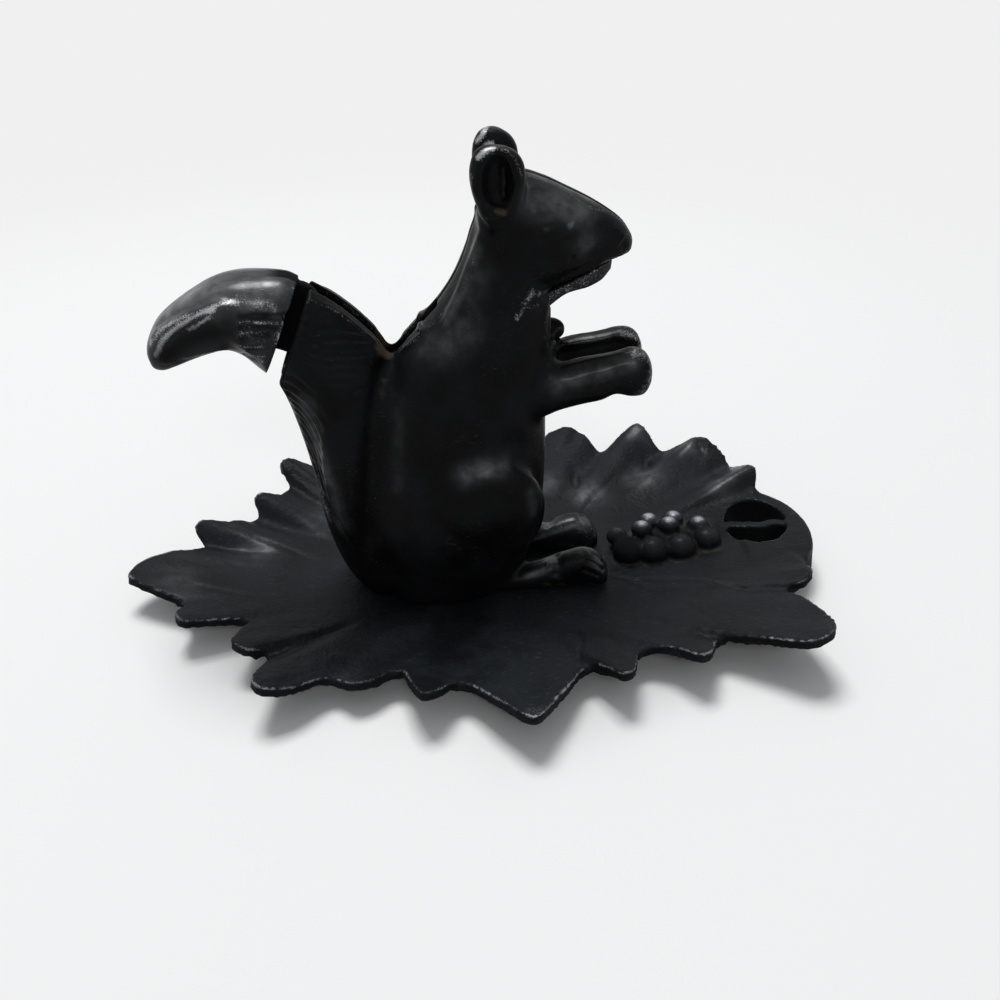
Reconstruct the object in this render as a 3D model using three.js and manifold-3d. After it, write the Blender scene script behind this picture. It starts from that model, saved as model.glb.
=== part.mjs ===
// A cast-iron lever nutcracker: a hollow two-part squirrel on an open leaf tray. Its tail tip is the
// handle of one lever that runs through the body, turns on a pin in the neck and ends as the lower jaw.
// Millimetres, +Z up, +X the way the squirrel faces, origin at the middle of the tray on the table.
import * as THREE from 'three';
import { mergeVertices } from 'three/addons/utils/BufferGeometryUtils.js';
import Module from 'manifold-3d';

const wasm = await Module();
wasm.setup();

// Driving dimensions of the tray
const trayLength = 273;
const trayDepth = 193;
const trayWall = 4.2;
const trayFloorTop = 9.5;
const rimRise = 16;
const rimRoll = 1.1;
const padRadius = 9;

// The loop handle at the stem end of the leaf, and the nuts cast beside it
const loopHeight = 11.5;
const loopTop = 15.5;
const loopBar = 3.4;
const stemDrop = 0.8;
const loopCorner = 1.2;
const nutRadius = 5.4;
const smallNutRadius = 3.9;

// Driving dimensions of the squirrel
const figureHeight = 168.5;
const figureHalfWidth = 27;
const castWall = 4.5;
const baseWall = 6;
const seamGap = 0.3;
const seatGap = 0.3;

// The lever, its blade, its jaw and the pin
const bladeThickness = 5;
const bladeClearance = 1;
const jawWidth = 15;
const jawClearance = 0.7;
const biteGap = 0.45;
const pivotBossRadius = 8;
const bossClearance = 1.4;
const pinRadius = 3.5;
const fitGap = 0.3;
const toothPitch = 3.6;
const toothDepth = 1.1;

// Sides of the rounded forms
const ballSides = { ear: 12, haunch: 14, nut: 9, smallNut: 7 };

// Screws
const screwRadius = 2.4;
const screwHeadRadius = 4.8;
const screwHeadHeight = 3;
const screwHeadGap = 0.5;
const driverSlotWidth = 1.3;
const driverSlotDepth = 1.3;
const screwBossRadius = 6.2;
const bodyScrewGrip = 14;
const baseScrewGrip = 15;

// One overrun for every cut
const overrun = 240;

const trayHalfLength = trayLength / 2;
const trayHalfDepth = trayDepth / 2;
const slotHalf = bladeThickness / 2 + bladeClearance;
const jawHalf = jawWidth / 2;
const throatHalf = jawHalf + jawClearance;
const screwHoleRadius = screwRadius + fitGap;

// Colours read from the casting: satin black paint over iron, and turned steel
const paintedIron = { color: 0x17191b, roughness: 0.42, metalness: 0.35 };
const trayIron = { color: 0x23272b, roughness: 0.5, metalness: 0.35 };
const leverIron = { color: 0x1c1e20, roughness: 0.36, metalness: 0.4 };
const darkSteel = { color: 0x4a4a4c, roughness: 0.4, metalness: 0.9 };

// Solids

function solidOf(geometry) {
  const bare = geometry.clone();
  bare.deleteAttribute('normal');
  bare.deleteAttribute('uv');
  const merged = mergeVertices(bare);
  const mesh = new wasm.Mesh({
    numProp: 3,
    vertProperties: new Float32Array(merged.attributes.position.array),
    triVerts: new Uint32Array(merged.index.array),
  });
  return new wasm.Manifold(mesh);
}

function geometryOf(solid) {
  const mesh = solid.getMesh();
  const geometry = new THREE.BufferGeometry();
  geometry.setAttribute('position', new THREE.BufferAttribute(mesh.vertProperties, 3));
  geometry.setIndex(new THREE.BufferAttribute(mesh.triVerts, 1));
  geometry.computeVertexNormals();
  return geometry;
}

const joined = (solids) => solids.reduce((sum, solid) => sum.add(solid));
const cutBy = (solid, tools) => tools.reduce((rest, tool) => rest.subtract(tool), solid);

// A closed skin over rings of points that run from one end to the other, with a fan at each end
function skin(rings) {
  const sides = rings[0].length;
  const points = rings.flat();
  const middle = (ring) => ring.reduce((sum, p) => sum.add(p), new THREE.Vector3()).divideScalar(sides);
  const start = points.length;
  points.push(middle(rings[0]), middle(rings.at(-1)));
  const faces = [];
  for (let r = 0; r + 1 < rings.length; r += 1) {
    for (let i = 0; i < sides; i += 1) {
      const a = r * sides + i;
      const b = r * sides + ((i + 1) % sides);
      faces.push(a, b, b + sides, a, b + sides, a + sides);
    }
  }
  const last = (rings.length - 1) * sides;
  for (let i = 0; i < sides; i += 1) {
    const next = (i + 1) % sides;
    faces.push(start, next, i, start + 1, last + i, last + next);
  }
  return closedGeometry(points, faces);
}

// Turns the faces outward if the rings ran the other way
function closedGeometry(points, faces) {
  let volume = 0;
  const cross = new THREE.Vector3();
  for (let f = 0; f < faces.length; f += 3) {
    cross.crossVectors(points[faces[f + 1]], points[faces[f + 2]]);
    volume += points[faces[f]].dot(cross);
  }
  if (volume < 0) faces.reverse();
  const geometry = new THREE.BufferGeometry().setFromPoints(points);
  geometry.setIndex(faces);
  return geometry;
}

// A loft through ribs. A rib is { low: [x, z], high: [x, z], half } and its ring is an oval that
// reaches from low to high and half to each side. fullness below 1 squares the oval off.
function ribLoft(ribs, { steps, sides, sideways = 0, fullness = 1 }) {
  const lows = new THREE.CatmullRomCurve3(ribs.map((rib) => new THREE.Vector3(rib.low[0], 0, rib.low[1])));
  const highs = new THREE.CatmullRomCurve3(ribs.map((rib) => new THREE.Vector3(rib.high[0], 0, rib.high[1])));
  const halves = new THREE.CatmullRomCurve3(ribs.map((rib) => new THREE.Vector3(rib.half, 0, 0)));
  const squared = (value) => Math.sign(value) * Math.abs(value) ** fullness;
  const rings = [];
  for (let step = 0; step <= steps; step += 1) {
    const low = lows.getPoint(step / steps);
    const high = highs.getPoint(step / steps);
    const half = halves.getPoint(step / steps).x;
    const ring = [];
    for (let i = 0; i < sides; i += 1) {
      const angle = (2 * Math.PI * (i + 0.5)) / sides;
      const point = low.clone().lerp(high, (1 + squared(Math.cos(angle))) / 2);
      point.y = sideways + half * squared(Math.sin(angle));
      ring.push(point);
    }
    rings.push(ring);
  }
  return solidOf(skin(rings));
}

// The same ribs drawn in by a wall all round, for the hollow inside a casting
function insetRibs(ribs, wall) {
  return ribs.map(({ low, high, half }) => {
    const reach = Math.hypot(high[0] - low[0], high[1] - low[1]);
    const share = wall / reach;
    const between = (from, to) => [from[0] + (to[0] - from[0]) * share, from[1] + (to[1] - from[1]) * share];
    return { low: between(low, high), high: between(high, low), half: half - wall };
  });
}

// An oval ball with its own half sizes along X, Y and Z, leant over about Y
function ball([x, y, z], [rx, ry, rz], sides, lean = 0) {
  const geometry = new THREE.SphereGeometry(1, sides, Math.round(sides / 1.6));
  geometry.scale(rx, ry, rz);
  geometry.rotateY(lean);
  geometry.translate(x, y, z);
  return solidOf(geometry);
}

// A round bar along Y, from one y to another
function barAlongY([x, z], radius, fromY, toY, sides = 16) {
  const geometry = new THREE.CylinderGeometry(radius, radius, toY - fromY, sides);
  geometry.translate(x, (fromY + toY) / 2, z);
  return solidOf(geometry);
}

// A round bar along Z, from one height to another
function barAlongZ([x, y], radius, fromZ, toZ, sides = 16) {
  const geometry = new THREE.CylinderGeometry(radius, radius, toZ - fromZ, sides);
  geometry.rotateX(Math.PI / 2);
  geometry.translate(x, y, (fromZ + toZ) / 2);
  return solidOf(geometry);
}

// An outline in X and Z, as thick as half to each side of the middle plane
function plate(outline, half) {
  const shape = new THREE.Shape(outline.map(([x, z]) => new THREE.Vector2(x, z)));
  const geometry = new THREE.ExtrudeGeometry(shape, { depth: 2 * half, bevelEnabled: false });
  geometry.rotateX(Math.PI / 2);
  geometry.translate(0, half, 0);
  return solidOf(geometry);
}

function block([x0, y0, z0], [x1, y1, z1]) {
  const geometry = new THREE.BoxGeometry(x1 - x0, y1 - y0, z1 - z0);
  geometry.translate((x0 + x1) / 2, (y0 + y1) / 2, (z0 + z1) / 2);
  return solidOf(geometry);
}

// A named piece of the model, placed in its group
function addPiece(group, name, solid, look, place = [0, 0, 0]) {
  const piece = new THREE.Mesh(geometryOf(solid), new THREE.MeshStandardMaterial(look));
  piece.name = name;
  piece.position.set(...place);
  group.add(piece);
}

// Places on the squirrel are shares of its height, from the spot on the tray under its middle.
// Widths are shares of its half width.
const spot = ([alongShare, upShare]) => [alongShare * figureHeight, upShare * figureHeight];
const ribsFrom = (shares) => shares.map(([lowX, lowZ, highX, highZ, halfShare]) => ({
  low: spot([lowX, lowZ]),
  high: spot([highX, highZ]),
  half: halfShare * figureHalfWidth,
}));

// Body from the tray to the neck: back edge, front edge, half width
const trunkShares = [
  [-0.247, 0.0, 0.08, 0.0, 0.9],
  [-0.253, 0.09, 0.12, 0.09, 0.97],
  [-0.254, 0.21, 0.143, 0.21, 1.0],
  [-0.245, 0.33, 0.147, 0.33, 0.96],
  [-0.225, 0.445, 0.148, 0.445, 0.9],
  [-0.208, 0.53, 0.166, 0.535, 0.83],
  [-0.15, 0.603, 0.162, 0.61, 0.74],
  [-0.077, 0.685, 0.16, 0.68, 0.64],
  [-0.033, 0.76, 0.14, 0.74, 0.56],
  [-0.01, 0.83, 0.12, 0.785, 0.52],
  [0.008, 0.872, 0.1, 0.835, 0.44],
];

// Head from the back of the skull to the nose: mouth line, crown and bridge, half width
const headShares = [
  [0.012, 0.77, 0.012, 0.87, 0.36],
  [0.03, 0.715, 0.04, 0.908, 0.5],
  [0.085, 0.7, 0.085, 0.936, 0.55],
  [0.125, 0.7, 0.13, 0.925, 0.55],
  [0.167, 0.711, 0.178, 0.903, 0.5],
  [0.212, 0.726, 0.226, 0.879, 0.42],
  [0.252, 0.745, 0.265, 0.855, 0.34],
  [0.286, 0.757, 0.292, 0.834, 0.27],
  [0.304, 0.762, 0.308, 0.813, 0.18],
  [0.312, 0.772, 0.315, 0.798, 0.08],
];
const headFullness = 0.82;

// Ear, from inside the skull to its tip: back edge, front edge, half thickness. The left ear's back
// edge lies a share further forward.
const earShares = [
  [0.03, 0.828, 0.062, 0.828, 0.07],
  [-0.002, 0.885, 0.087, 0.885, 0.18],
  [-0.016, 0.935, 0.091, 0.935, 0.19],
  [-0.014, 0.973, 0.085, 0.971, 0.17],
  [-0.002, 0.995, 0.071, 0.99, 0.13],
  [0.016, 1.003, 0.052, 1.0, 0.07],
];
const earSideShare = 0.43;
const leftEarShare = 0.014;
const earCupShares = { along: 0.04, up: 0.925, halfLong: 0.033, halfHigh: 0.054, depth: 0.2, face: 0.19 };

// Foreleg from the shoulder to the paw: lower edge, upper edge, half width
const armShares = [
  [0.08, 0.42, 0.07, 0.575, 0.27],
  [0.13, 0.43, 0.13, 0.575, 0.29],
  [0.165, 0.445, 0.165, 0.553, 0.26],
  [0.215, 0.457, 0.215, 0.562, 0.23],
  [0.26, 0.466, 0.26, 0.568, 0.22],
  [0.285, 0.478, 0.285, 0.573, 0.215],
  [0.322, 0.472, 0.322, 0.581, 0.25],
  [0.347, 0.476, 0.347, 0.57, 0.23],
  [0.361, 0.5, 0.361, 0.545, 0.13],
];
const armSideShare = 0.35;

// Hind foot from the heel to the toes: sole, instep, half width
const footShares = [
  [-0.09, 0.0, -0.09, 0.03, 0.16],
  [-0.02, 0.0, -0.02, 0.05, 0.2],
  [0.06, 0.0, 0.06, 0.045, 0.2],
  [0.13, 0.0, 0.13, 0.06, 0.2],
  [0.19, 0.0, 0.19, 0.082, 0.21],
  [0.235, 0.0, 0.235, 0.092, 0.22],
  [0.27, 0.0, 0.27, 0.076, 0.2],
  [0.289, 0.004, 0.289, 0.045, 0.13],
];
const footSideShare = 0.46;

// Haunch: the rounded thigh that swells from the side of the body
const haunchShares = { along: -0.036, up: 0.2, long: 0.185, high: 0.145, wide: 0.36, side: 0.72 };
const haunchLean = -0.62;

// Tail from the tray up to its bend: outer edge, ridge, half width
const tailShares = [
  [-0.272, 0.0, -0.16, 0.0, 0.56],
  [-0.307, 0.045, -0.16, 0.06, 0.6],
  [-0.343, 0.15, -0.165, 0.165, 0.64],
  [-0.365, 0.3, -0.165, 0.31, 0.68],
  [-0.384, 0.4, -0.158, 0.43, 0.69],
  [-0.407, 0.485, -0.165, 0.535, 0.68],
  [-0.422, 0.52, -0.189, 0.584, 0.65],
  [-0.434, 0.545, -0.235, 0.642, 0.6],
  [-0.445, 0.56, -0.288, 0.69, 0.57],
  [-0.46, 0.575, -0.345, 0.727, 0.54],
];

// The tail's open end, where the lever's handle lies against it at rest
const tailCutShares = [
  [-0.422, 0.502],
  [-0.313, 0.777],
  [-0.6, 0.777],
  [-0.6, 0.502],
];

// Handle, from its cut face to the tip: lower edge, upper edge, half width
const handleShares = [
  [-0.441, 0.536, -0.358, 0.732, 0.46],
  [-0.455, 0.552, -0.38, 0.742, 0.51],
  [-0.4845, 0.583, -0.428, 0.747, 0.53],
  [-0.511, 0.594, -0.478, 0.747, 0.52],
  [-0.549, 0.586, -0.527, 0.736, 0.49],
  [-0.588, 0.572, -0.575, 0.711, 0.45],
  [-0.62, 0.559, -0.617, 0.683, 0.4],
  [-0.646, 0.55, -0.65, 0.653, 0.33],
  [-0.663, 0.553, -0.67, 0.617, 0.24],
  [-0.672, 0.564, -0.677, 0.592, 0.11],
];
const handleFullness = 0.82;

// The pivot in the neck, and the blade that dips under the notch between back and tail
const pivotShare = [0.041, 0.658];
const pinEndShare = 0.467;
const bladeShares = [
  [0.035, 0.625, 0.058, 0.69],
  [-0.035, 0.56, 0.0, 0.632],
  [-0.106, 0.505, -0.082, 0.582],
  [-0.188, 0.476, -0.188, 0.553],
  [-0.27, 0.495, -0.276, 0.6],
  [-0.342, 0.552, -0.335, 0.716],
  [-0.452, 0.6, -0.405, 0.733],
];

// Lower jaw from the pivot boss to its lip: underside, biting face
const jawShares = [
  [0.03, 0.616, 0.045, 0.701, 0.9],
  [0.09, 0.616, 0.08, 0.698, 1.0],
  [0.15, 0.672, 0.13, 0.701, 1.0],
  [0.18, 0.695, 0.172, 0.718, 1.0],
  [0.224, 0.706, 0.22, 0.742, 0.94],
  [0.252, 0.719, 0.254, 0.757, 0.78],
  [0.271, 0.738, 0.273, 0.763, 0.5],
];
const jawFullness = 0.62;

// The room in throat and mouth that the jaw swings through, up to the upper jaw's biting face
const throatShares = [
  [0.041, 0.716],
  [-0.012, 0.58],
  [0.14, 0.58],
  [0.19, 0.59],
  [0.42, 0.59],
  [0.42, 0.81],
];

// Both jaws are toothed between these two places along the bite
const biteShares = [[0.15, 0.709], [0.25, 0.755]];

// The floor of the hollow in the skull, a wall's thickness under it to the mouth
const skullFloorShares = [[0.041, 0.716], [0.13, 0.716], [0.274, 0.776]];

// The slot that the blade rises through, along the back, the notch and the tail's ridge
const slotShares = [
  [0.06, 0.57],
  [0.06, 0.69],
  [-0.04, 0.69],
  [-0.082, 0.673],
  [-0.11, 0.86],
  [-0.5, 0.86],
  [-0.5, 0.52],
  [-0.4, 0.47],
  [-0.188, 0.44],
  [-0.03, 0.52],
];

// Body screws, put in from the far side: place and depth of the head's seat as a share of half width
const bodyScrews = [
  { name: 'chest_screw', placeShare: [0.07, 0.487], seatShare: 0.5 },
  { name: 'haunch_screw', placeShare: [-0.02, 0.185], seatShare: 0.84 },
  { name: 'tail_screw', placeShare: [-0.285, 0.23], seatShare: 0.45 },
];
const baseScrewShare = [-0.13, 0.44];

const pivot = spot(pivotShare);
const pinHalfLength = pinEndShare * figureHalfWidth;

function screwBosses() {
  return bodyScrews.map(({ placeShare }) => barAlongY(spot(placeShare), screwBossRadius, -overrun, overrun));
}

function baseScrewSpot(side) {
  return [baseScrewShare[0] * figureHeight, side * baseScrewShare[1] * figureHalfWidth];
}

// The squirrel's outer form, both halves in one
function figureForm() {
  const forms = [
    ribLoft(ribsFrom(trunkShares), { steps: 15, sides: 20 }),
    ribLoft(ribsFrom(headShares), { steps: 12, sides: 16, fullness: headFullness }),
    ribLoft(ribsFrom(tailShares), { steps: 12, sides: 16, fullness: 0.9 }).subtract(
      plate(tailCutShares.map(spot), figureHalfWidth),
    ),
  ];
  for (const side of [-1, 1]) {
    forms.push(ear(side));
    forms.push(ribLoft(ribsFrom(armShares), {
      steps: 10, sides: 10, sideways: side * armSideShare * figureHalfWidth,
    }));
    forms.push(ribLoft(ribsFrom(footShares), {
      steps: 8, sides: 10, sideways: side * footSideShare * figureHalfWidth, fullness: 0.8,
    }));
    const { along, up, long, high, wide, side: out } = haunchShares;
    const [x, z] = spot([along, up]);
    forms.push(ball(
      [x, side * out * figureHalfWidth, z],
      [long * figureHeight, wide * figureHalfWidth, high * figureHeight],
      ballSides.haunch,
      haunchLean,
    ));
  }
  const aboveTray = block([-overrun, -overrun, 0], [overrun, overrun, overrun]);
  return joined(forms).intersect(aboveTray);
}

function ear(side) {
  const sideways = side * earSideShare * figureHalfWidth;
  const inset = side > 0 ? leftEarShare : 0;
  const ribs = ribsFrom(earShares.map(([backX, ...rest]) => [backX + inset, ...rest]));
  const lobe = ribLoft(ribs, { steps: 7, sides: 12, sideways, fullness: 0.85 });
  const { along, up, halfLong, halfHigh, depth, face } = earCupShares;
  const [x, z] = spot([along, up]);
  const cup = ball(
    [x, sideways + side * face * figureHalfWidth, z],
    [halfLong * figureHeight, depth * figureHalfWidth, halfHigh * figureHeight],
    ballSides.ear,
  );
  return lobe.subtract(cup);
}

// The hollow inside the body and tail, with the floor left solid and the bosses left standing
function figureHollow() {
  const trunk = ribLoft(insetRibs(ribsFrom(trunkShares.slice(0, 7)), castWall), { steps: 7, sides: 12 });
  const tail = ribLoft(insetRibs(ribsFrom(tailShares), castWall), { steps: 8, sides: 12, fullness: 0.9 });
  const skull = ribLoft(insetRibs(ribsFrom(headShares.slice(1, 6)), castWall), { steps: 4, sides: 10 });
  const overFloor = block([-overrun, -overrun, baseWall], [overrun, overrun, overrun]);
  const baseBosses = [-1, 1].map((side) => (
    barAlongZ(baseScrewSpot(side), screwBossRadius, 0, baseWall + baseScrewGrip)
  ));
  const roof = plate(skullRoom(), overrun);
  const hollow = joined([trunk, tail]).intersect(overFloor);
  return joined([cutBy(hollow, [...screwBosses(), ...baseBosses]), skull.intersect(roof)]);
}

// The part of the head that lies a wall's thickness above the mouth
function skullRoom() {
  const floor = skullFloorShares.map(spot).map(([x, z]) => [x, z + castWall]);
  return [...floor, [floor.at(-1)[0], figureHeight], [floor[0][0], figureHeight]];
}

// Everything that the lever needs clear: blade slot, throat, mouth and the round room for its boss
function leverRoom() {
  const bite = jawShares.slice(1).map(([, , highX, highZ]) => spot([highX, highZ]));
  const upperJaw = bite.map(([x, z]) => [x, z + biteGap]).reverse();
  return joined([
    plate(slotShares.map(spot), slotHalf),
    plate([...throatShares.map(spot), ...upperJaw], throatHalf),
    barAlongY(pivot, pivotBossRadius + bossClearance, -throatHalf, throatHalf, 24),
    ...jawTeeth(1),
  ]);
}

// One half of the squirrel: side -1 is its right half, side 1 its left half
function figureHalf(side, form, hollow, room) {
  const middle = (side * seamGap) / 2;
  const far = side * overrun;
  const own = block(
    [-overrun, Math.min(middle, far), -overrun],
    [overrun, Math.max(middle, far), overrun],
  );
  const pinReach = pinHalfLength + fitGap;
  const tools = [hollow, room, barAlongY(pivot, pinRadius + fitGap, -pinReach, pinReach)];
  for (const { placeShare, seatShare } of bodyScrews) {
    const place = spot(placeShare);
    const seat = seatShare * figureHalfWidth;
    tools.push(barAlongY(place, screwHoleRadius, -bodyScrewGrip - fitGap, seat));
    tools.push(barAlongY(place, screwHeadRadius + screwHeadGap, seat, overrun));
  }
  const [x, y] = baseScrewSpot(side);
  tools.push(barAlongZ([x, y], screwHoleRadius, -overrun, baseScrewGrip + fitGap));
  return cutBy(form.intersect(own), tools);
}

// The lever: handle, blade, boss and toothed lower jaw in one casting
function leverCasting() {
  const bladeRibs = bladeShares.map(([lowX, lowZ, highX, highZ]) => ({
    low: spot([lowX, lowZ]),
    high: spot([highX, highZ]),
    half: bladeThickness / 2,
  }));
  const jawRibs = jawShares.map(([lowX, lowZ, highX, highZ, widthShare]) => ({
    low: spot([lowX, lowZ]),
    high: spot([highX, highZ]),
    half: widthShare * jawHalf,
  }));
  const solid = joined([
    ribLoft(ribsFrom(handleShares), { steps: 12, sides: 16, fullness: handleFullness }),
    ribLoft(bladeRibs, { steps: 12, sides: 8, fullness: 0.3 }),
    ribLoft(jawRibs, { steps: 9, sides: 14, fullness: jawFullness }),
    barAlongY(pivot, pivotBossRadius, -jawHalf, jawHalf, 24),
  ]);
  return cutBy(solid, [barAlongY(pivot, pinRadius + fitGap, -overrun, overrun), ...jawTeeth(-1)]);
}

// Notches across a biting face, cut down into the lower jaw (-1) or up into the upper one (1)
function jawTeeth(way) {
  const [[backX, backZ], [frontX, frontZ]] = biteShares.map(spot);
  const length = Math.hypot(frontX - backX, frontZ - backZ);
  const count = Math.floor(length / toothPitch);
  const lift = way > 0 ? biteGap : 0;
  const teeth = [];
  for (let i = 0; i < count; i += 1) {
    const share = (i + 0.5) / count;
    const x = backX + (frontX - backX) * share;
    const z = backZ + (frontZ - backZ) * share + lift;
    teeth.push(plate([
      [x - toothPitch / 3, z - way * toothDepth / 2],
      [x + toothPitch / 3, z - way * toothDepth / 2],
      [x, z + way * toothDepth],
    ], throatHalf));
  }
  return teeth;
}

// A slotted screw along +Y from the underside of its head at the origin, its shank along -Y
const screwPointShare = 0.7;
const screwEdgeShare = 0.7;
const screwTopShare = 0.75;

function slottedScrew(grip) {
  const profile = [
    [0, -grip],
    [screwRadius * screwPointShare, -grip],
    [screwRadius, -grip + screwRadius * (1 - screwPointShare)],
    [screwRadius, 0],
    [screwHeadRadius, 0],
    [screwHeadRadius, screwHeadHeight * screwEdgeShare],
    [screwHeadRadius * screwTopShare, screwHeadHeight],
    [0, screwHeadHeight],
  ].map(([radius, y]) => new THREE.Vector2(radius, y));
  const turned = solidOf(new THREE.LatheGeometry(profile, 12));
  const cut = block(
    [-driverSlotWidth / 2, screwHeadHeight - driverSlotDepth, -overrun],
    [driverSlotWidth / 2, overrun, overrun],
  );
  return turned.subtract(cut);
}

// The leaf's edge, anticlockwise from its tip over the far side: place as shares of half length
// and half depth, and how high the edge stands as a share of the rim's rise
const leafEdgeShares = [
  [-1.0, -0.01, 0.5], [-0.955, 0.1, 0.5], [-0.903, 0.14, 0.52], [-0.845, 0.165, 0.4],
  [-0.808, 0.205, 0.34], [-0.84, 0.28, 0.6], [-0.815, 0.315, 0.66], [-0.743, 0.34, 0.52],
  [-0.664, 0.415, 0.34], [-0.677, 0.465, 0.66], [-0.66, 0.5, 0.72], [-0.61, 0.52, 0.64],
  [-0.582, 0.65, 0.42], [-0.612, 0.715, 0.78], [-0.585, 0.76, 0.82], [-0.515, 0.77, 0.64],
  [-0.42, 0.72, 0.5], [-0.365, 0.79, 0.74], [-0.305, 0.79, 0.72], [-0.235, 0.72, 0.52],
  [-0.2, 0.83, 0.84], [-0.15, 0.9, 0.86], [-0.08, 0.82, 0.56], [0.0, 0.93, 0.84],
  [0.075, 1.0, 1.0], [0.15, 0.91, 0.8], [0.215, 0.83, 0.56], [0.28, 0.915, 0.8],
  [0.33, 0.94, 0.86], [0.385, 0.92, 0.96], [0.412, 0.88, 0.88], [0.458, 0.81, 0.56],
  [0.53, 0.87, 0.8], [0.57, 0.905, 0.96], [0.6, 0.895, 1.0], [0.623, 0.855, 0.88],
  [0.67, 0.79, 0.56], [0.73, 0.765, 0.8], [0.778, 0.76, 1.0], [0.806, 0.74, 1.0],
  [0.842, 0.69, 0.84], [0.87, 0.595, 0.58], [0.9, 0.505, 0.88], [0.918, 0.47, 0.9],
  [0.91, 0.41, 0.6], [0.895, 0.33, 0.46], [0.87, 0.2, 0.36], [0.87, 0.06, 0.34],
  [0.88, -0.03, 0.38], [0.915, -0.13, 0.5], [0.935, -0.22, 0.6], [0.932, -0.275, 0.66],
  [0.895, -0.325, 0.6], [0.85, -0.32, 0.42], [0.876, -0.43, 0.64], [0.9, -0.585, 0.84],
  [0.895, -0.67, 0.95], [0.868, -0.725, 0.98], [0.81, -0.75, 0.92], [0.7, -0.65, 0.56],
  [0.612, -0.59, 0.34], [0.585, -0.66, 0.54], [0.558, -0.73, 0.64], [0.53, -0.745, 0.66],
  [0.462, -0.64, 0.42], [0.398, -0.62, 0.28], [0.372, -0.73, 0.54], [0.348, -0.805, 0.64],
  [0.315, -0.815, 0.64], [0.256, -0.68, 0.22], [0.17, -0.855, 0.46], [0.084, -1.0, 0.66],
  [0.0, -0.88, 0.52], [-0.082, -0.74, 0.28], [-0.14, -0.835, 0.58], [-0.18, -0.855, 0.64],
  [-0.212, -0.77, 0.58], [-0.24, -0.645, 0.24], [-0.31, -0.705, 0.24], [-0.36, -0.715, 0.28],
  [-0.408, -0.665, 0.22], [-0.5, -0.755, 0.46], [-0.572, -0.78, 0.64], [-0.6, -0.74, 0.66],
  [-0.596, -0.68, 0.6], [-0.575, -0.515, 0.22], [-0.63, -0.535, 0.5], [-0.67, -0.485, 0.52],
  [-0.66, -0.405, 0.42], [-0.645, -0.3, 0.22], [-0.75, -0.325, 0.34], [-0.815, -0.34, 0.46],
  [-0.838, -0.285, 0.46], [-0.83, -0.17, 0.22], [-0.915, -0.1, 0.34],
];

// Steps from the flat middle to the edge, as shares of the way out
const leafRingShares = [0.58, 0.74, 0.88, 1];
const flatShare = 0.52;
const toothShare = 0.4;
const ovalShares = [0.8, 0.72];

// One point on the leaf's top, a share of the way out towards an edge point
function leafPoint(edge, outShare) {
  const angle = Math.atan2(edge.y / trayHalfDepth, edge.x / trayHalfLength);
  const oval = new THREE.Vector3(
    ovalShares[0] * trayHalfLength * Math.cos(angle),
    ovalShares[1] * trayHalfDepth * Math.sin(angle),
    0,
  );
  const toothed = THREE.MathUtils.smoothstep(outShare, toothShare, 1);
  const point = oval.lerp(new THREE.Vector3(edge.x, edge.y, 0), toothed).multiplyScalar(outShare);
  const climb = THREE.MathUtils.clamp((outShare - flatShare) / (1 - flatShare), 0, 1);
  point.z = trayFloorTop + edge.z * climb * climb * (3 - climb) / 2;
  return point;
}

// The leaf as a shell of even thickness with a rolled edge
function leafShell() {
  const shares = leafEdgeShares.map(([x, y, lift]) => (
    new THREE.Vector3(x * trayHalfLength, y * trayHalfDepth, lift * rimRise)
  ));
  const curve = new THREE.CatmullRomCurve3(shares, true, 'centripetal');
  const edges = [];
  for (let i = 0; i < shares.length * 2; i += 1) {
    edges.push(curve.getPoint(i / (shares.length * 2)));
  }
  const drop = new THREE.Vector3(0, 0, -trayWall);
  const top = leafRingShares.map((share) => edges.map((edge) => leafPoint(edge, share)));
  const outer = edges.map((edge) => {
    const out = new THREE.Vector3(edge.x, edge.y, 0).setLength(rimRoll);
    return leafPoint(edge, 1).add(out).addScaledVector(drop, 0.5);
  });
  const under = top.map((ring) => ring.map((point) => point.clone().add(drop))).reverse();
  return solidOf(skin([...top, outer, ...under]));
}

// The loop at the stem: an oval plate whose middle is open but for a bar, leant to the dish's slope
const loopShares = { along: 0.82, across: 0.095, halfLong: 0.18, halfWide: 0.34, leafEdge: 0.79 };
const openingShares = { along: 0.853, across: 0.172, halfLong: 0.092, halfWide: 0.162 };
const loopLean = 0.09;
const stemShares = [
  [0.74, 0.185],
  [0.8, 0.172],
  [0.86, 0.15],
  [0.91, 0.155],
  [0.96, 0.12],
];

function loopOutline() {
  const { along, across, halfLong, halfWide, leafEdge } = loopShares;
  const shape = new THREE.Shape();
  const near = (across - halfWide) * trayHalfDepth;
  shape.moveTo(leafEdge * trayHalfLength, near);
  shape.lineTo(along * trayHalfLength, near);
  shape.absellipse(
    along * trayHalfLength, across * trayHalfDepth,
    halfLong * trayHalfLength, halfWide * trayHalfDepth,
    -Math.PI / 2, Math.PI / 2,
  );
  shape.lineTo(leafEdge * trayHalfLength, (across + halfWide) * trayHalfDepth);
  return shape;
}

function openingOutline() {
  const { along, across, halfLong, halfWide } = openingShares;
  return new THREE.Shape().absellipse(
    along * trayHalfLength, across * trayHalfDepth,
    halfLong * trayHalfLength, halfWide * trayHalfDepth,
    0, 2 * Math.PI,
  );
}

// The stem's bar across the opening, as a wavy strip
function stemOutline() {
  const middle = new THREE.SplineCurve(stemShares.map(([x, y]) => (
    new THREE.Vector2(x * trayHalfLength, y * trayHalfDepth)
  )));
  const along = middle.getPoints(6);
  const strip = (way) => along.map((point) => new THREE.Vector2(point.x, point.y + (way * loopBar) / 2));
  return new THREE.Shape([...strip(-1), ...strip(1).reverse()]);
}

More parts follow.
